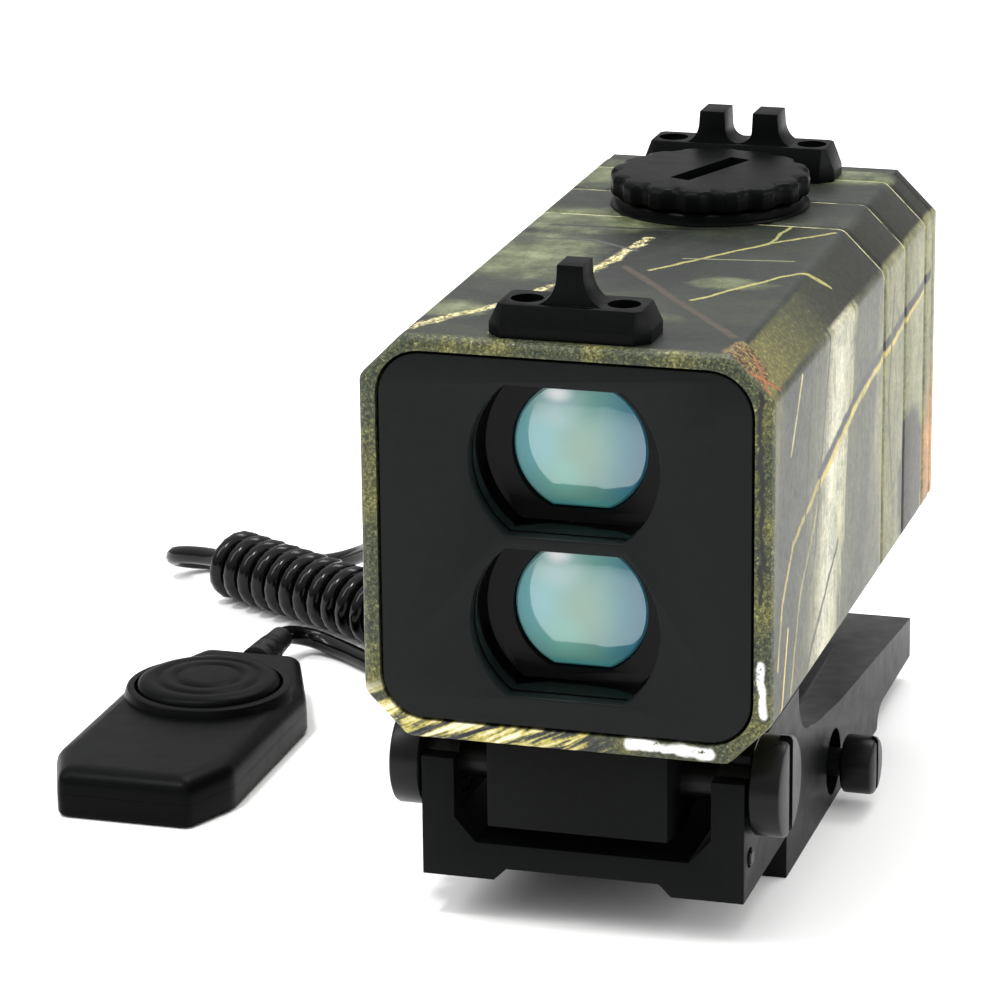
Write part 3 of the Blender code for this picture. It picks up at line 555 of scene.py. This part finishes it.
def octagon(w, z0, z1, c):
    h = w / 2
    return [(-h + c, z0), (h - c, z0), (h, z0 + c), (h, z1 - c), (h - c, z1), (-h + c, z1), (-h, z1 - c), (-h, z0 + c)]


def put(ob, body, node, *more):
    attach(ob, body)
    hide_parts(node, *more)
    return ob


def smooth_curve(route, step):
    P = [Vector(p) for p in route]
    P = [P[0] * 2 - P[1]] + P + [P[-1] * 2 - P[-2]]
    out = []
    for i in range(1, len(P) - 2):
        p0, p1, p2, p3 = P[i - 1:i + 3]
        t1 = (p1 - p0).length ** 0.5
        t2 = t1 + (p2 - p1).length ** 0.5
        t3 = t2 + (p3 - p2).length ** 0.5
        n = max(1, round((p2 - p1).length / step))
        for k in range(n):
            t = t1 + (t2 - t1) * k / n
            a1 = p0 * ((t1 - t) / t1) + p1 * (t / t1)
            a2 = p1 * ((t2 - t) / (t2 - t1)) + p2 * ((t - t1) / (t2 - t1))
            a3 = p2 * ((t3 - t) / (t3 - t2)) + p3 * ((t - t2) / (t3 - t2))
            b1 = a1 * ((t2 - t) / t2) + a2 * (t / t2)
            b2 = a2 * ((t3 - t) / (t3 - t1)) + a3 * ((t - t1) / (t3 - t1))
            out.append(b1 * ((t2 - t) / (t2 - t1)) + b2 * ((t - t1) / (t2 - t1)))
    out.append(P[-2])
    return out


# ------------------------------------------------------------------ the cord
TAIL = [(SX, 75.3, 3.6), (SX, 78.3, 3.1), (-54.3, 81.0, 2.0), (-50.3, 79.9, 1.3), (-44.5, 75.6, 1.25), (-38.5, 71.5, 1.25),
        (-32.5, 70.3, 1.3), (-28.4, 73.6, 2.0), (-29.6, 78.2, 3.4), (-34.5, 79.9, 4.4), (-40.74, 82.15, 4.6)]
LEAD = [(-31.0, 68.0, 33.0), (-33.0, 68.1, 33.0), (-36.4, 71.0, 30.8), (-39.5, 77.0, 25.5), (-46.0, 90.0, 14.0), (-54.2, 102.0, 6.2), (-60.5, 106.3, 3.0), (-67.5, 108.6, 1.4),
        (-74.5, 109.0, 1.25), (-80.5, 106.6, 1.6), (-81.5, 103.2, 3.2), (-77.6, 101.6, 4.4), (-72.76, 99.95, 4.6)]
ax = (COIL_B - COIL_A).normalized()
e1 = ax.cross(Vector((0, 0, 1))).normalized()
e2 = e1.cross(ax)
TURNS, PER = 13.5, 18
R_COIL = 4.45 - CORD_D / 2
helix = []
length = (COIL_B - COIL_A).length
for i in range(int(TURNS * PER) + 1):
    f = i / (TURNS * PER)
    a = 2 * math.pi * TURNS * f
    r = R_COIL * min(1.0, f * TURNS / 0.55 + 0.10, (1 - f) * TURNS / 0.55 + 0.10)
    s = 0.9 + (length - 1.8) * (f if f * TURNS > 1 else f * (1.0)) 
    helix.append(COIL_A + ax * s + e1 * (r * math.cos(a)) + e2 * (r * math.sin(a)))
lead_in = smooth_curve(LEAD[:-1], 1.6)[:-1] + smooth_curve([LEAD[-2], LEAD[-1], tuple(helix[0])], 1.2)[:-1]
joins = (len(lead_in), len(lead_in) + len(helix) - 1)
route = lead_in + helix + smooth_curve([tuple(helix[-1]), TAIL[-1], TAIL[-2]], 1.2)[1:-1] + smooth_curve(list(reversed(TAIL))[1:], 1.6)
for _ in range(8):
    near = [i for i in range(1, len(route) - 1) if min(abs(i - k) for k in joins) <= 12]
    moved = {i: (route[i - 1] + route[i] * 2 + route[i + 1]) / 4 for i in near}
    for i, q in moved.items():
        route[i] = q
cu = bpy.data.curves.new("remote_cord", "CURVE")
cu.dimensions = "3D"
cu.bevel_depth = CORD_D / 2 * MM
cu.bevel_resolution = 3
cu.use_fill_caps = True
sp = cu.splines.new("POLY")
sp.points.add(len(route) - 1)
for p, q in zip(sp.points, route):
    p.co = (*V(*q), 1.0)
cu.materials.append(M_CORD)
remote_cord = bpy.data.objects.new("remote_cord", cu)
col.objects.link(remote_cord)
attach(remote_cord, "sight")
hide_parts("cord_lead", "cord_coil", "cord_tail")

# ------------------------------------------------------------------ housing
H_MID = (Z_BOT + Z_TOP) / 2
HW, HH = BODY_W / 2, (Z_TOP - Z_BOT) / 2


def polar(poly, angles):
    """Points of a convex outline about its middle, read at the given angles."""
    out = []
    for t in angles:
        d = (math.cos(t), math.sin(t))
        best = None
        for (ax_, az), (bx, bz) in zip(poly, poly[1:] + poly[:1]):
            ex, ez = bx - ax_, bz - az
            den = d[0] * ez - d[1] * ex
            if abs(den) < 1e-9:
                continue
            k = (ax_ * ez - az * ex) / den
            u = (ax_ * d[1] - az * d[0]) / den
            if k > 0 and -1e-6 <= u <= 1 + 1e-6 and (best is None or k < best):
                best = k
        out.append((best * d[0], best * d[1]))
    return out


def oct_loop(inset, r=0.55, n=3):
    """The housing's octagon drawn in by inset, with small rounded corners."""
    w, h = HW - inset, HH - inset
    c = CHAMFER - inset * 0.586
    P = [(-w + c, -h), (w - c, -h), (w, -h + c), (w, h - c), (w - c, h), (-w + c, h), (-w, h - c), (-w, -h + c)]
    out = []
    for i, p in enumerate(P):
        a, b, q = Vector(P[i - 1]), Vector(P[(i + 1) % 8]), Vector(p)
        s, e = q + (a - q).normalized() * r, q + (b - q).normalized() * r
        for k in range(n + 1):
            t = k / n
            out.append(tuple(s * (1 - t) ** 2 + q * (2 * t * (1 - t)) + e * t * t))
    return out


inner_poly = [(x, z - H_MID) for x, z in rounded(-PANEL_W / 2 - 0.28, PANEL_W / 2 + 0.28, PANEL_LO - 0.28, PANEL_HI + 0.28, PANEL_R + 0.28, 8)]
ang = sorted({round(math.atan2(z, x), 5) for x, z in oct_loop(0.0) + inner_poly + oct_loop(1.0)} | {round(-math.pi + 2 * math.pi * k / 48, 5) for k in range(48)})
ang = [a for i, a in enumerate(ang) if i == 0 or a - ang[i - 1] > 0.002]


def housing(name, sections, y_in0, y_in1, mat):
    bm = bmesh.new()
    rings = []
    for y, ins in sections:
        rings.append([bm.verts.new(V(x, y, z + H_MID)) for x, z in polar(oct_loop(ins), ang)])
    for y in (y_in1, y_in0):
        rings.append([bm.verts.new(V(x, y, z + H_MID)) for x, z in polar(inner_poly, ang)])
    n = len(ang)
    for a, b in zip(rings, rings[1:] + rings[:1]):
        for i in range(n):
            j = (i + 1) % n
            bm.faces.new((a[i], a[j], b[j], b[i]))
    return from_bm(bm, name, mat, 28)


def groove(y, d=0.5, w=0.62):
    return [(y - w - 0.12, 0.0), (y - w, 0.03), (y - 0.06, d), (y + 0.06, d), (y + w, 0.03), (y + w + 0.12, 0.0)]


secs = [(0.0, 0.95), (0.10, 0.55), (0.35, 0.22), (0.75, 0.04), (1.2, 0.0), (20.0, 0.0), (38.0, 0.0)] + groove(52.9) + groove(64.2) + groove(75.2) + [(78.9, 0.0), (79.12, 0.12), (COVER_Y, 0.3)]
shell = housing("housing_skin", secs, 0.0, COVER_Y, M_CAMO)
cut(shell, turned("t", "Z", (0, CAP_Y), [(8.9, 60.0), (8.9, 66.0)], segs=48), turned("t2", "X", (68.0, 33.0), [(2.6, -23.0), (2.6, -18.0)], segs=32))
apply(shell, 28)
put(shell, "sight", "housing_shell")

# ------------------------------------------------------------------ front panel and optics
panel = outline("front_plate", [rounded(-PANEL_W / 2, PANEL_W / 2, PANEL_LO, PANEL_HI, PANEL_R, 12), truncated(WIN_R, WIN_H, Z_UP, 28), truncated(WIN_R, WIN_H, Z_LOW, 28)], 0.1, 1.8, "XZ", M_PANEL)
soften(panel, 0.22, 3, 50)
put(panel, "sight", "front_panel")
block = outline("optics_block", [rounded(-12.5, 12.5, 25.0, 61.0, 3.0, 6), truncated(LENS_R, LENS_H, Z_UP, 28), truncated(LENS_R, LENS_H, Z_LOW, 28)], 2.1, 13.0, "XZ", M_RECESS)
cut(block, outline("u", [truncated(WIN_R, WIN_H, Z_UP, 28)], 1.0, 6.2, "XZ"), outline("l", [truncated(WIN_R, WIN_H, Z_LOW, 28)], 1.0, 6.2, "XZ"))
soften(block, 0.15, 2, 50)
put(block, "sight", "lens_block")


def lens(name, cz, mat):
    """A convex lens with flats above and below and a narrow ground bevel."""
    bm = bmesh.new()
    base = truncated(LENS_R - 0.12, LENS_H - 0.12, cz, 30)
    rings = []
    for k, bulge in ((1.0, 0.0), (0.965, 0.28)):
        rings.append([bm.verts.new(V(x * k, 6.9 - bulge, cz + (z - cz) * k)) for x, z in base])
    for k in (0.85, 0.7, 0.5, 0.3, 0.12):
        rings.append([bm.verts.new(V(x * k, 6.62 - 0.72 * (1 - k * k), cz + (z - cz) * k)) for x, z in base])
    back = [bm.verts.new(V(x, 9.2, z)) for x, z in base]
    rings.insert(0, back)
    n = len(base)
    for a, b in zip(rings, rings[1:]):
        for i in range(n):
            j = (i + 1) % n
            bm.faces.new((a[i], a[j], b[j], b[i]))
    c = bm.verts.new(V(0, 6.62 - 0.72, cz))
    for i in range(n):
        bm.faces.new((rings[-1][i], rings[-1][(i + 1) % n], c))
    bm.faces.new(back)
    return from_bm(bm, name, mat, 25)


put(lens("upper_objective", Z_UP, M_UP), "sight", "upper_lens")
put(lens("lower_objective", Z_LOW, M_LOW), "sight", "lower_lens")

# ------------------------------------------------------------------ battery cap
N = 512
fl = []
for i in range(N):
    a = 2 * math.pi * i / N
    u = (i % 32) / 32.0
    dip = 0.62 * math.sin(math.pi * min(1.0, max(0.0, (u - 0.30) / 0.70))) ** 1.3
    fl.append((CAP_R - dip, a))
bm = bmesh.new()
rings = []
for z, ins in ((1.45, 0.35), (1.6, 0.1), (1.8, 0.0), (3.1, 0.0), (3.45, 0.1), (3.7, 0.34), (3.84, 0.8), (3.9, 1.5)):
    rings.append([bm.verts.new(V((r - ins) * math.cos(a), CAP_Y + (r - ins) * math.sin(a), Z_TOP + z)) for r, a in fl] if ins < 1.0 else
                 [bm.verts.new(V((CAP_R - ins - 0.0 * r) * math.cos(a), CAP_Y + (CAP_R - ins) * math.sin(a), Z_TOP + z)) for r, a in fl])
for a_, b_ in zip(rings, rings[1:]):
    for i in range(N):
        j = (i + 1) % N
        bm.faces.new((a_[i], a_[j], b_[j], b_[i]))
bm.faces.new(rings[0])
bm.faces.new(rings[-1])
cap = from_bm(bm, "fluted_cap", M_MATTE, 30)
join(cap, turned("stem", "Z", (0, CAP_Y), [(7.7, 59.9), (8.0, 60.3), (8.0, Z_TOP + 2.0)], segs=64))
sc = box("slot", -1.25, 1.25, -5.9, 5.9, Z_TOP + 2.3, Z_TOP + 5.0)
sc.data.transform(Matrix.Translation(-V(0, 0, 0)))
sc.data.transform(Matrix.Rotation(math.radians(-21.0), 4, "Z"))
sc.data.transform(Matrix.Translation(V(0, CAP_Y, 0)))
cut(cap, sc)
apply(cap, 30)
put(cap, "cap", "battery_cap")
ring = turned("cap_ring", "Z", (0, CAP_Y), [(8.95, Z_TOP + 0.05), (10.75, Z_TOP + 0.05), (10.85, Z_TOP + 0.12), (10.8, Z_TOP + 0.3), (10.35, Z_TOP + 0.42), (10.3, Z_TOP + 1.0), (10.15, Z_TOP + 1.15), (8.95, Z_TOP + 1.15)], M_MATTE, 96)
bm = bmesh.new()
bm.from_mesh(ring.data)
big = [f for f in bm.faces if len(f.verts) > 20]
loops = [e for f in big for e in f.edges]
bmesh.ops.delete(bm, geom=big, context="FACES_ONLY")
bmesh.ops.bridge_loops(bm, edges=list(dict.fromkeys(loops)))
bmesh.ops.recalc_face_normals(bm, faces=bm.faces)
bm.to_mesh(ring.data)
bm.free()
ring.data.set_sharp_from_angle(angle=math.radians(30))
put(ring, "sight", "battery_collar")

# ------------------------------------------------------------------ sights
def sight_block(name, w, y0, y1, top, c, mat):
    """Elongated octagon block: an upright band, then faces sloping in to the top."""
    def plan(k):
        return [(-w + k, y0 + c), (-w + c, y0 + k), (w - c, y0 + k), (w - k, y0 + c), (w - k, y1 - c), (w - c, y1 - k), (-w + c, y1 - k), (-w + k, y1 - c)]
    bm = bmesh.new()
    rings = [[bm.verts.new(V(x, y, Z_TOP + z)) for x, y in plan(k)] for z, k in ((0.05, 0.0), (1.25, 0.0), (top, 0.95))]
    for a, b in zip(rings, rings[1:]):
        for i in range(8):
            j = (i + 1) % 8
            bm.faces.new((a[i], a[j], b[j], b[i]))
    bm.faces.new(rings[0])
    bm.faces.new(rings[-1])
    return from_bm(bm, name, mat)


fs = sight_block("front_bead", 8.2, 1.2, 8.8, 3.2, 1.5, M_MATTE)
post = [(-3.8, Z_TOP + 1.2), (3.8, Z_TOP + 1.2)]
for i in range(11):
    a = math.pi / 2 * i / 10
    post.append((3.8 - 2.45 * math.sin(a), Z_TOP + 3.1 + 3.2 * (1 - math.cos(a))))
post += [(1.3, Z_TOP + 7.25), (-1.3, Z_TOP + 7.25)]
post += [(-x, z) for x, z in post[12:1:-1]]
join(fs, outline("p", [post], 2.9, 6.6, "XZ"))
soften(fs, 0.16, 2, 24)
cut(fs, *[turned("h", "Z", (4.9 * s, 5.0), [(1.65, Z_TOP - 1), (1.65, Z_TOP + 5)], segs=40) for s in (-1, 1)])
put(fs, "sight", "front_sight")
rs = sight_block("rear_notch", 10.9, 71.9, 78.8, 3.7, 1.4, M_MATTE)
rp = [(-6.4, Z_TOP + 1.2), (6.4, Z_TOP + 1.2)]
for i in range(9):
    a = math.pi / 2 * i / 8
    rp.append((6.4 - 1.9 * math.sin(a), Z_TOP + 3.6 + 2.4 * (1 - math.cos(a))))
rp += [(4.4, Z_TOP + 7.25), (1.6, Z_TOP + 7.25)]
for i in range(0, 11):
    a = math.pi * i / 10
    rp.append((1.5 * math.cos(a), Z_TOP + 5.2 - 1.4 * math.sin(a)))
rp += [(-1.6, Z_TOP + 7.25), (-4.4, Z_TOP + 7.25)]
rp += [(-x, z) for x, z in rp[10:1:-1]]
join(rs, outline("p2", [rp], 73.3, 77.3, "XZ"))
soften(rs, 0.16, 2, 24)
cut(rs, *[turned("h2", "Z", (7.9 * s, 75.3), [(1.65, Z_TOP - 1), (1.65, Z_TOP + 6)], segs=40) for s in (-1, 1)])
put(rs, "sight", "rear_sight")

# ------------------------------------------------------------------ rear cover
rear = outline("back_cover", [octagon(BODY_W - 0.2, Z_BOT + 0.1, Z_TOP - 0.1, CHAMFER)], COVER_Y + 0.3, BODY_L, "XZ", M_CAMO)
soften(rear, 0.7, 4, 60)
cut(rear, outline("d", [rounded(-9.5, 9.5, 43.5, 56.5, 1.5, 8)], 77.0, 84.0, "XZ"),
    *[turned("k", "Y", (s * 7.5, 33.0), [(3.6, 77.0), (3.6, 84.0)], segs=48) for s in (-1, 1)],
    *[turned("s", "Y", (sx, sz), [(1.9, 80.6), (1.9, 84.0)], segs=32) for sx, sz in ((-16.5, 27.5), (16.5, 27.5), (-16.5, 57.8), (16.5, 57.8))])
put(rear, "sight", "rear_cover")
for i, (sx, sz) in enumerate(((-16.5, 27.5), (16.5, 27.5), (-16.5, 57.8), (16.5, 57.8))):
    s = turned("cover_screw_head_%d" % (i + 1), "Y", (sx, sz), [(1.55, 80.9), (1.55, 81.7), (1.35, 81.95)], M_STEEL, 40)
    cut(s, turned("hex", "Y", (sx, sz), [(0.75, 81.3), (0.75, 83.0)], segs=6))
    put(s, "sight", "cover_screw_%d" % (i + 1))
for nm, sx, body, node in (("power_key_cap", -7.5, "power_key", "power_button"), ("mode_key_cap", 7.5, "mode_key", "mode_button")):
    k = turned(nm, "Y", (sx, 33.0), [(3.25, 79.6), (3.25, 82.4), (3.1, 82.75), (2.7, 82.95), (2.2, 82.86), (1.0, 82.75), (0, 82.72)], M_RUBBER, 64)
    put(k, body, node)
win = outline("display_glass", [rounded(-9.2, 9.2, 43.8, 56.2, 1.3, 8)], 79.9, 81.6, "XZ", M_RECESS)
soften(win, 0.2, 2, 60)
put(win, "sight", "display_window")

# ------------------------------------------------------------------ mount
side = [(6.0, 4.75), (25.5, 4.75), (25.5, 0.0), (72.0, 0.0)]
for i in range(6):
    a = math.pi / 2 * i / 5
    side.append((72.3 + 3.1 * (1 - math.cos(a)), 0.4 + 2.1 * math.sin(a)))
side += [(91.0, 2.5), (91.0, 7.3), (74.4, 8.9), (51.6, 10.7), (39.3, 12.4), (36.4, 13.2)]
for i in range(1, 8):
    a = math.pi / 2 * i / 8
    side.append((36.4 - 5.6 * math.sin(a), 13.2 + 5.6 * (1 - math.cos(a))))
side += [(30.7, 19.4), (9.0, 19.6), (9.0, 17.6), (6.0, 17.6)]
base = outline("mount_frame", [side], -MW, MW, "YZ", M_ANOD)
cut(base, outline("c1", [[(-13.45, 25.0), (-13.45, 11.3), (-11.2, 8.7), (11.2, 8.7), (13.45, 11.3), (13.45, 25.0)]], 0.0, 95.0, "XZ"),
    outline("c2", [[(-8.0, 6.05), (8.0, 6.05), (10.9, 3.2), (10.9, 2.5), (8.6, 0.2), (8.6, -3.0), (-8.6, -3.0), (-8.6, 0.2), (-10.9, 2.5), (-10.9, 3.2)]], 0.0, 95.0, "XZ"),
    box("c3", -20.0, -7.0, 29.7, 66.3, -1.0, 6.05), box("c4", -20.0, -11.3, 29.7, 66.3, 0.5, 7.6))
soften(base, 0.28, 2, 30)
cut(base, turned("c5", "X", (THUMB_Y, THUMB_Z), [(1.9, -20.0), (1.9, 20.0)], segs=32), turned("c6", "X", (THUMB_Y, THUMB_Z), [(3.7, 15.7), (3.7, 20.0)], segs=64),
    turned("c7", "X", (PIV_Y, PIV_Z), [(3.6, -20.0), (3.6, -10.0)], segs=64), turned("c8", "X", (PIV_Y, PIV_Z), [(3.6, 10.0), (3.6, 20.0)], segs=64),
    turned("c9", "X", (8.6, 8.9), [(1.1, -20.0), (1.1, -15.2)], segs=32), turned("c10", "X", (8.6, 8.9), [(1.1, 15.2), (1.1, 20.0)], segs=32))
put(base, "mount", "mount_base")
lug = outline("cradle_lug", [[(4.2, 11.3), (12.0, 10.2), (16.5, 11.6), (19.5, 15.5), (19.5, Z_BOT - 0.3), (4.2, Z_BOT - 0.3)]], -9.45, 9.45, "YZ", M_ANOD)
soften(lug, 0.25, 2, 40)
cut(lug, turned("c", "X", (PIV_Y, PIV_Z), [(2.35, -12.0), (2.35, 12.0)], segs=48))
put(lug, "sight", "tilt_cradle")
for nm, s, body, node in (("coin_screw_left", -1, "windage_left", "windage_screw_left"), ("coin_screw_right", 1, "windage_right", "windage_screw_right")):
    sc = turned(nm, "X", (PIV_Y, PIV_Z), [(2.35, s * 13.6), (3.3, s * 13.6), (3.3, s * 17.2), (4.95, s * 17.2), (5.2, s * 17.4), (5.2, s * 20.1), (5.08, s * 20.33), (4.75, s * 20.5), (0.0, s * 20.5)], M_STEEL, 96)
    lo, hi = sorted((s * 12.0, s * 18.6))
    cut(sc, turned("bore", "X", (PIV_Y, PIV_Z), [(2.35, lo), (2.35, hi)], segs=48))
    lo, hi = sorted((s * 19.2, s * 23.0))
    cut(sc, box("coin", lo, hi, PIV_Y - 0.8, PIV_Y + 0.8, PIV_Z - 8, PIV_Z + 8))
    put(sc, body, node)
for nm, s, node in (("grub_left", -1, "set_screw_left"), ("grub_right", 1, "set_screw_right")):
    g = turned(nm, "X", (8.6, 8.9), [(0.8, s * 15.4), (0.8, s * 17.05), (0.65, s * 17.2)], M_STEEL, 32)
    put(g, "mount", node)
jaw = outline("left_jaw", [[(-MW, 0.0), (-8.9, 0.0), (-8.9, 0.35), (-11.2, 2.65), (-11.2, 3.1), (-9.0, 5.3), (-9.0, 5.7), (-11.6, 5.7), (-11.6, 7.3), (-MW, 7.3)]], 30.0, 66.0, "XZ", M_ANOD)
soften(jaw, 0.25, 2, 40)
cut(jaw, turned("c", "X", (THUMB_Y, THUMB_Z), [(1.9, -20.0), (1.9, -5.0)], segs=48))
put(jaw, "jaw", "clamp_jaw")
th = turned("thumb_head", "X", (THUMB_Y, THUMB_Z), [(1.3, -14.0), (1.55, -13.7), (1.55, 17.9), (1.9, 18.15), (2.9, 18.2), (3.15, 18.4), (3.2, 18.7), (3.2, 21.2), (3.1, 21.5), (2.75, 21.75), (0, 21.8)], M_STEEL, 72)
cut(th, box("c", 21.0, 23.0, THUMB_Y - 0.5, THUMB_Y + 0.5, THUMB_Z - 5, THUMB_Z + 5))
put(th, "clamp_screw", "thumb_screw")
put(turned("pivot_rod", "X", (PIV_Y, PIV_Z), [(1.8, -15.2), (2.0, -15.0), (2.0, 15.0), (1.8, 15.2)], M_STEEL, 48), "yoke", "pivot_pin")


# ------------------------------------------------------------------ remote switch
def plan(k, n=1):
    P = [(SX - 7.5 + k * 0.5, 22.4 + k), (SX + 7.5 - k * 0.5, 22.4 + k), (SX + 10.4 - k, 29.3 + k * 0.5), (SX + 10.4 - k, 54.5 - k * 0.3),
         (SX + 5.8 - k * 0.5, 66.0 - k), (SX - 5.8 + k * 0.5, 66.0 - k), (SX - 10.4 + k, 54.5 - k * 0.3), (SX - 10.4 + k, 29.3 + k * 0.5)]
    out = []
    for i, p in enumerate(P):
        a, b, q = Vector(P[i - 1]), Vector(P[(i + 1) % 8]), Vector(p)
        s, e = q + (a - q).normalized() * 0.9, q + (b - q).normalized() * 0.9
        for t in (0.0, 0.25, 0.5, 0.75, 1.0):
            out.append(tuple(s * (1 - t) ** 2 + q * (2 * t * (1 - t)) + e * t * t))
    return out


def slab(name, rows, mat):
    bm = bmesh.new()
    rings = [[bm.verts.new(V(x, y, z)) for x, y in plan(k)] for z, k in rows]
    n = len(rings[0])
    for a, b in zip(rings, rings[1:]):
        for i in range(n):
            j = (i + 1) % n
            bm.faces.new((a[i], a[j], b[j], b[i]))
    bm.faces.new(rings[0])
    bm.faces.new(rings[-1])
    return from_bm(bm, name, mat, 35)


sbase = slab("switch_lower", [(0.0, 0.6), (0.2, 0.2), (0.6, 0.0), (2.5, 0.0), (2.77, 0.02)], M_SWITCH)
put(sbase, "sight", "switch_base")
scov = slab("switch_upper", [(2.80, 0.02), (2.95, 0.02), (3.8, 0.06), (4.5, 0.22), (5.0, 0.6), (5.35, 1.15), (5.58, 1.9), (5.6, 2.6)], M_SWITCH)
join(scov, turned("collar", "Z", (SX, 50.5), [(9.9, 4.2), (9.7, 5.4), (9.5, 6.1), (9.3, 6.5), (9.0, 6.6)], segs=96))
cut(scov, turned("well", "Z", (SX, 50.5), [(8.5, 2.0), (8.5, 9.0)], segs=96))
put(scov, "sight", "switch_cover")
pad = turned("switch_pad_top", "Z", (SX, 50.5), [(8.0, 4.0), (8.15, 4.2), (8.15, 6.5), (8.0, 6.95), (7.6, 7.25), (6.9, 7.4), (6.2, 7.42), (6.0, 7.25), (5.7, 7.25), (5.5, 7.46), (4.2, 7.5), (4.0, 7.3), (3.7, 7.3), (3.5, 7.5), (2.0, 7.5), (1.0, 7.5), (0, 7.5)], M_PAD, 96, 50)
put(pad, "switch_pad", "switch_button")
boot = turned("cord_boot", "Y", (SX, 3.6), [(1.5, 66.3), (1.9, 66.5), (1.85, 68.0), (1.55, 68.3), (1.55, 68.7), (1.8, 69.0), (1.75, 70.2), (1.5, 70.5), (1.5, 70.9), (1.7, 71.2), (1.6, 72.4), (1.42, 72.7), (1.42, 73.1), (1.5, 73.4), (1.4, 75.6), (1.2, 75.9)], M_RUBBER, 40)
put(boot, "sight", "strain_relief")
plug = turned("jack_plug", "X", (68.0, 33.0), [(1.25, -31.7), (1.5, -31.5), (2.0, -30.6), (2.4, -29.2), (2.7, -27.0), (2.7, -22.0), (2.5, -21.4), (1.15, -21.4), (1.15, -14.8), (0.6, -14.2)], M_RUBBER, 48)
put(plug, "sight", "cord_plug")

# ------------------------------------------------------------------ floor and light
bm = bmesh.new()
bmesh.ops.create_grid(bm, x_segments=1, y_segments=1, size=6.0)
floor = from_bm(bm, "floor", None)
fm = Nodes("pale_floor", 0.75, 0, 0.2)
fm.color(fm.mix(fm.noise(0.02, 2), (0.90, 0.90, 0.895), (0.93, 0.93, 0.925)))
floor.data.materials.append(fm.m)
floor.location.z = -0.00002

bpy.context.scene.view_settings.view_transform = "Standard"
world = bpy.data.worlds.new("studio")
bpy.context.scene.world = world
world.use_nodes = True
wt = world.node_tree
wc = wt.nodes.new("ShaderNodeTexCoord")
wx = wt.nodes.new("ShaderNodeSeparateXYZ")
wt.links.new(wc.outputs["Generated"], wx.inputs[0])
wr = wt.nodes.new("ShaderNodeMapRange")
wt.links.new(wx.outputs[2], wr.inputs["Value"])
wr.inputs["From Min"].default_value, wr.inputs["From Max"].default_value = 0.0, 0.9
wr.inputs["To Min"].default_value, wr.inputs["To Max"].default_value = 0.30, 1.42
wt.links.new(wr.outputs["Result"], wt.nodes["Background"].inputs["Strength"])
wt.nodes["Background"].inputs["Color"].default_value = (1.0, 1.0, 1.0, 1.0)


def area(name, loc, target, size, power, color=(1, 1, 1)):
    li = bpy.data.lights.new(name, "AREA")
    li.shape, li.size, li.size_y, li.energy, li.color = "RECTANGLE", size[0], size[1], power, color
    ob = bpy.data.objects.new(name, li)
    bpy.context.scene.collection.objects.link(ob)
    ob.location = loc
    ob.rotation_euler = (Vector(target) - Vector(loc)).to_track_quat("-Z", "Y").to_euler()
    return ob


area("left_strip", (-0.55, -0.30, 0.55), (0, 0, 0.04), (0.10, 0.50), 2.2)
area("right_softbox", (0.80, -0.10, 0.32), (0, 0, 0.03), (0.45, 0.30), 3.2)
area("top_softbox", (0.10, 0.45, 0.80), (0, 0, 0.04), (0.50, 0.20), 3.0)

area("edge_light", (-0.17, -0.25, 0.72), (0, 0, 0.03), (0.10, 0.10), 2.8)
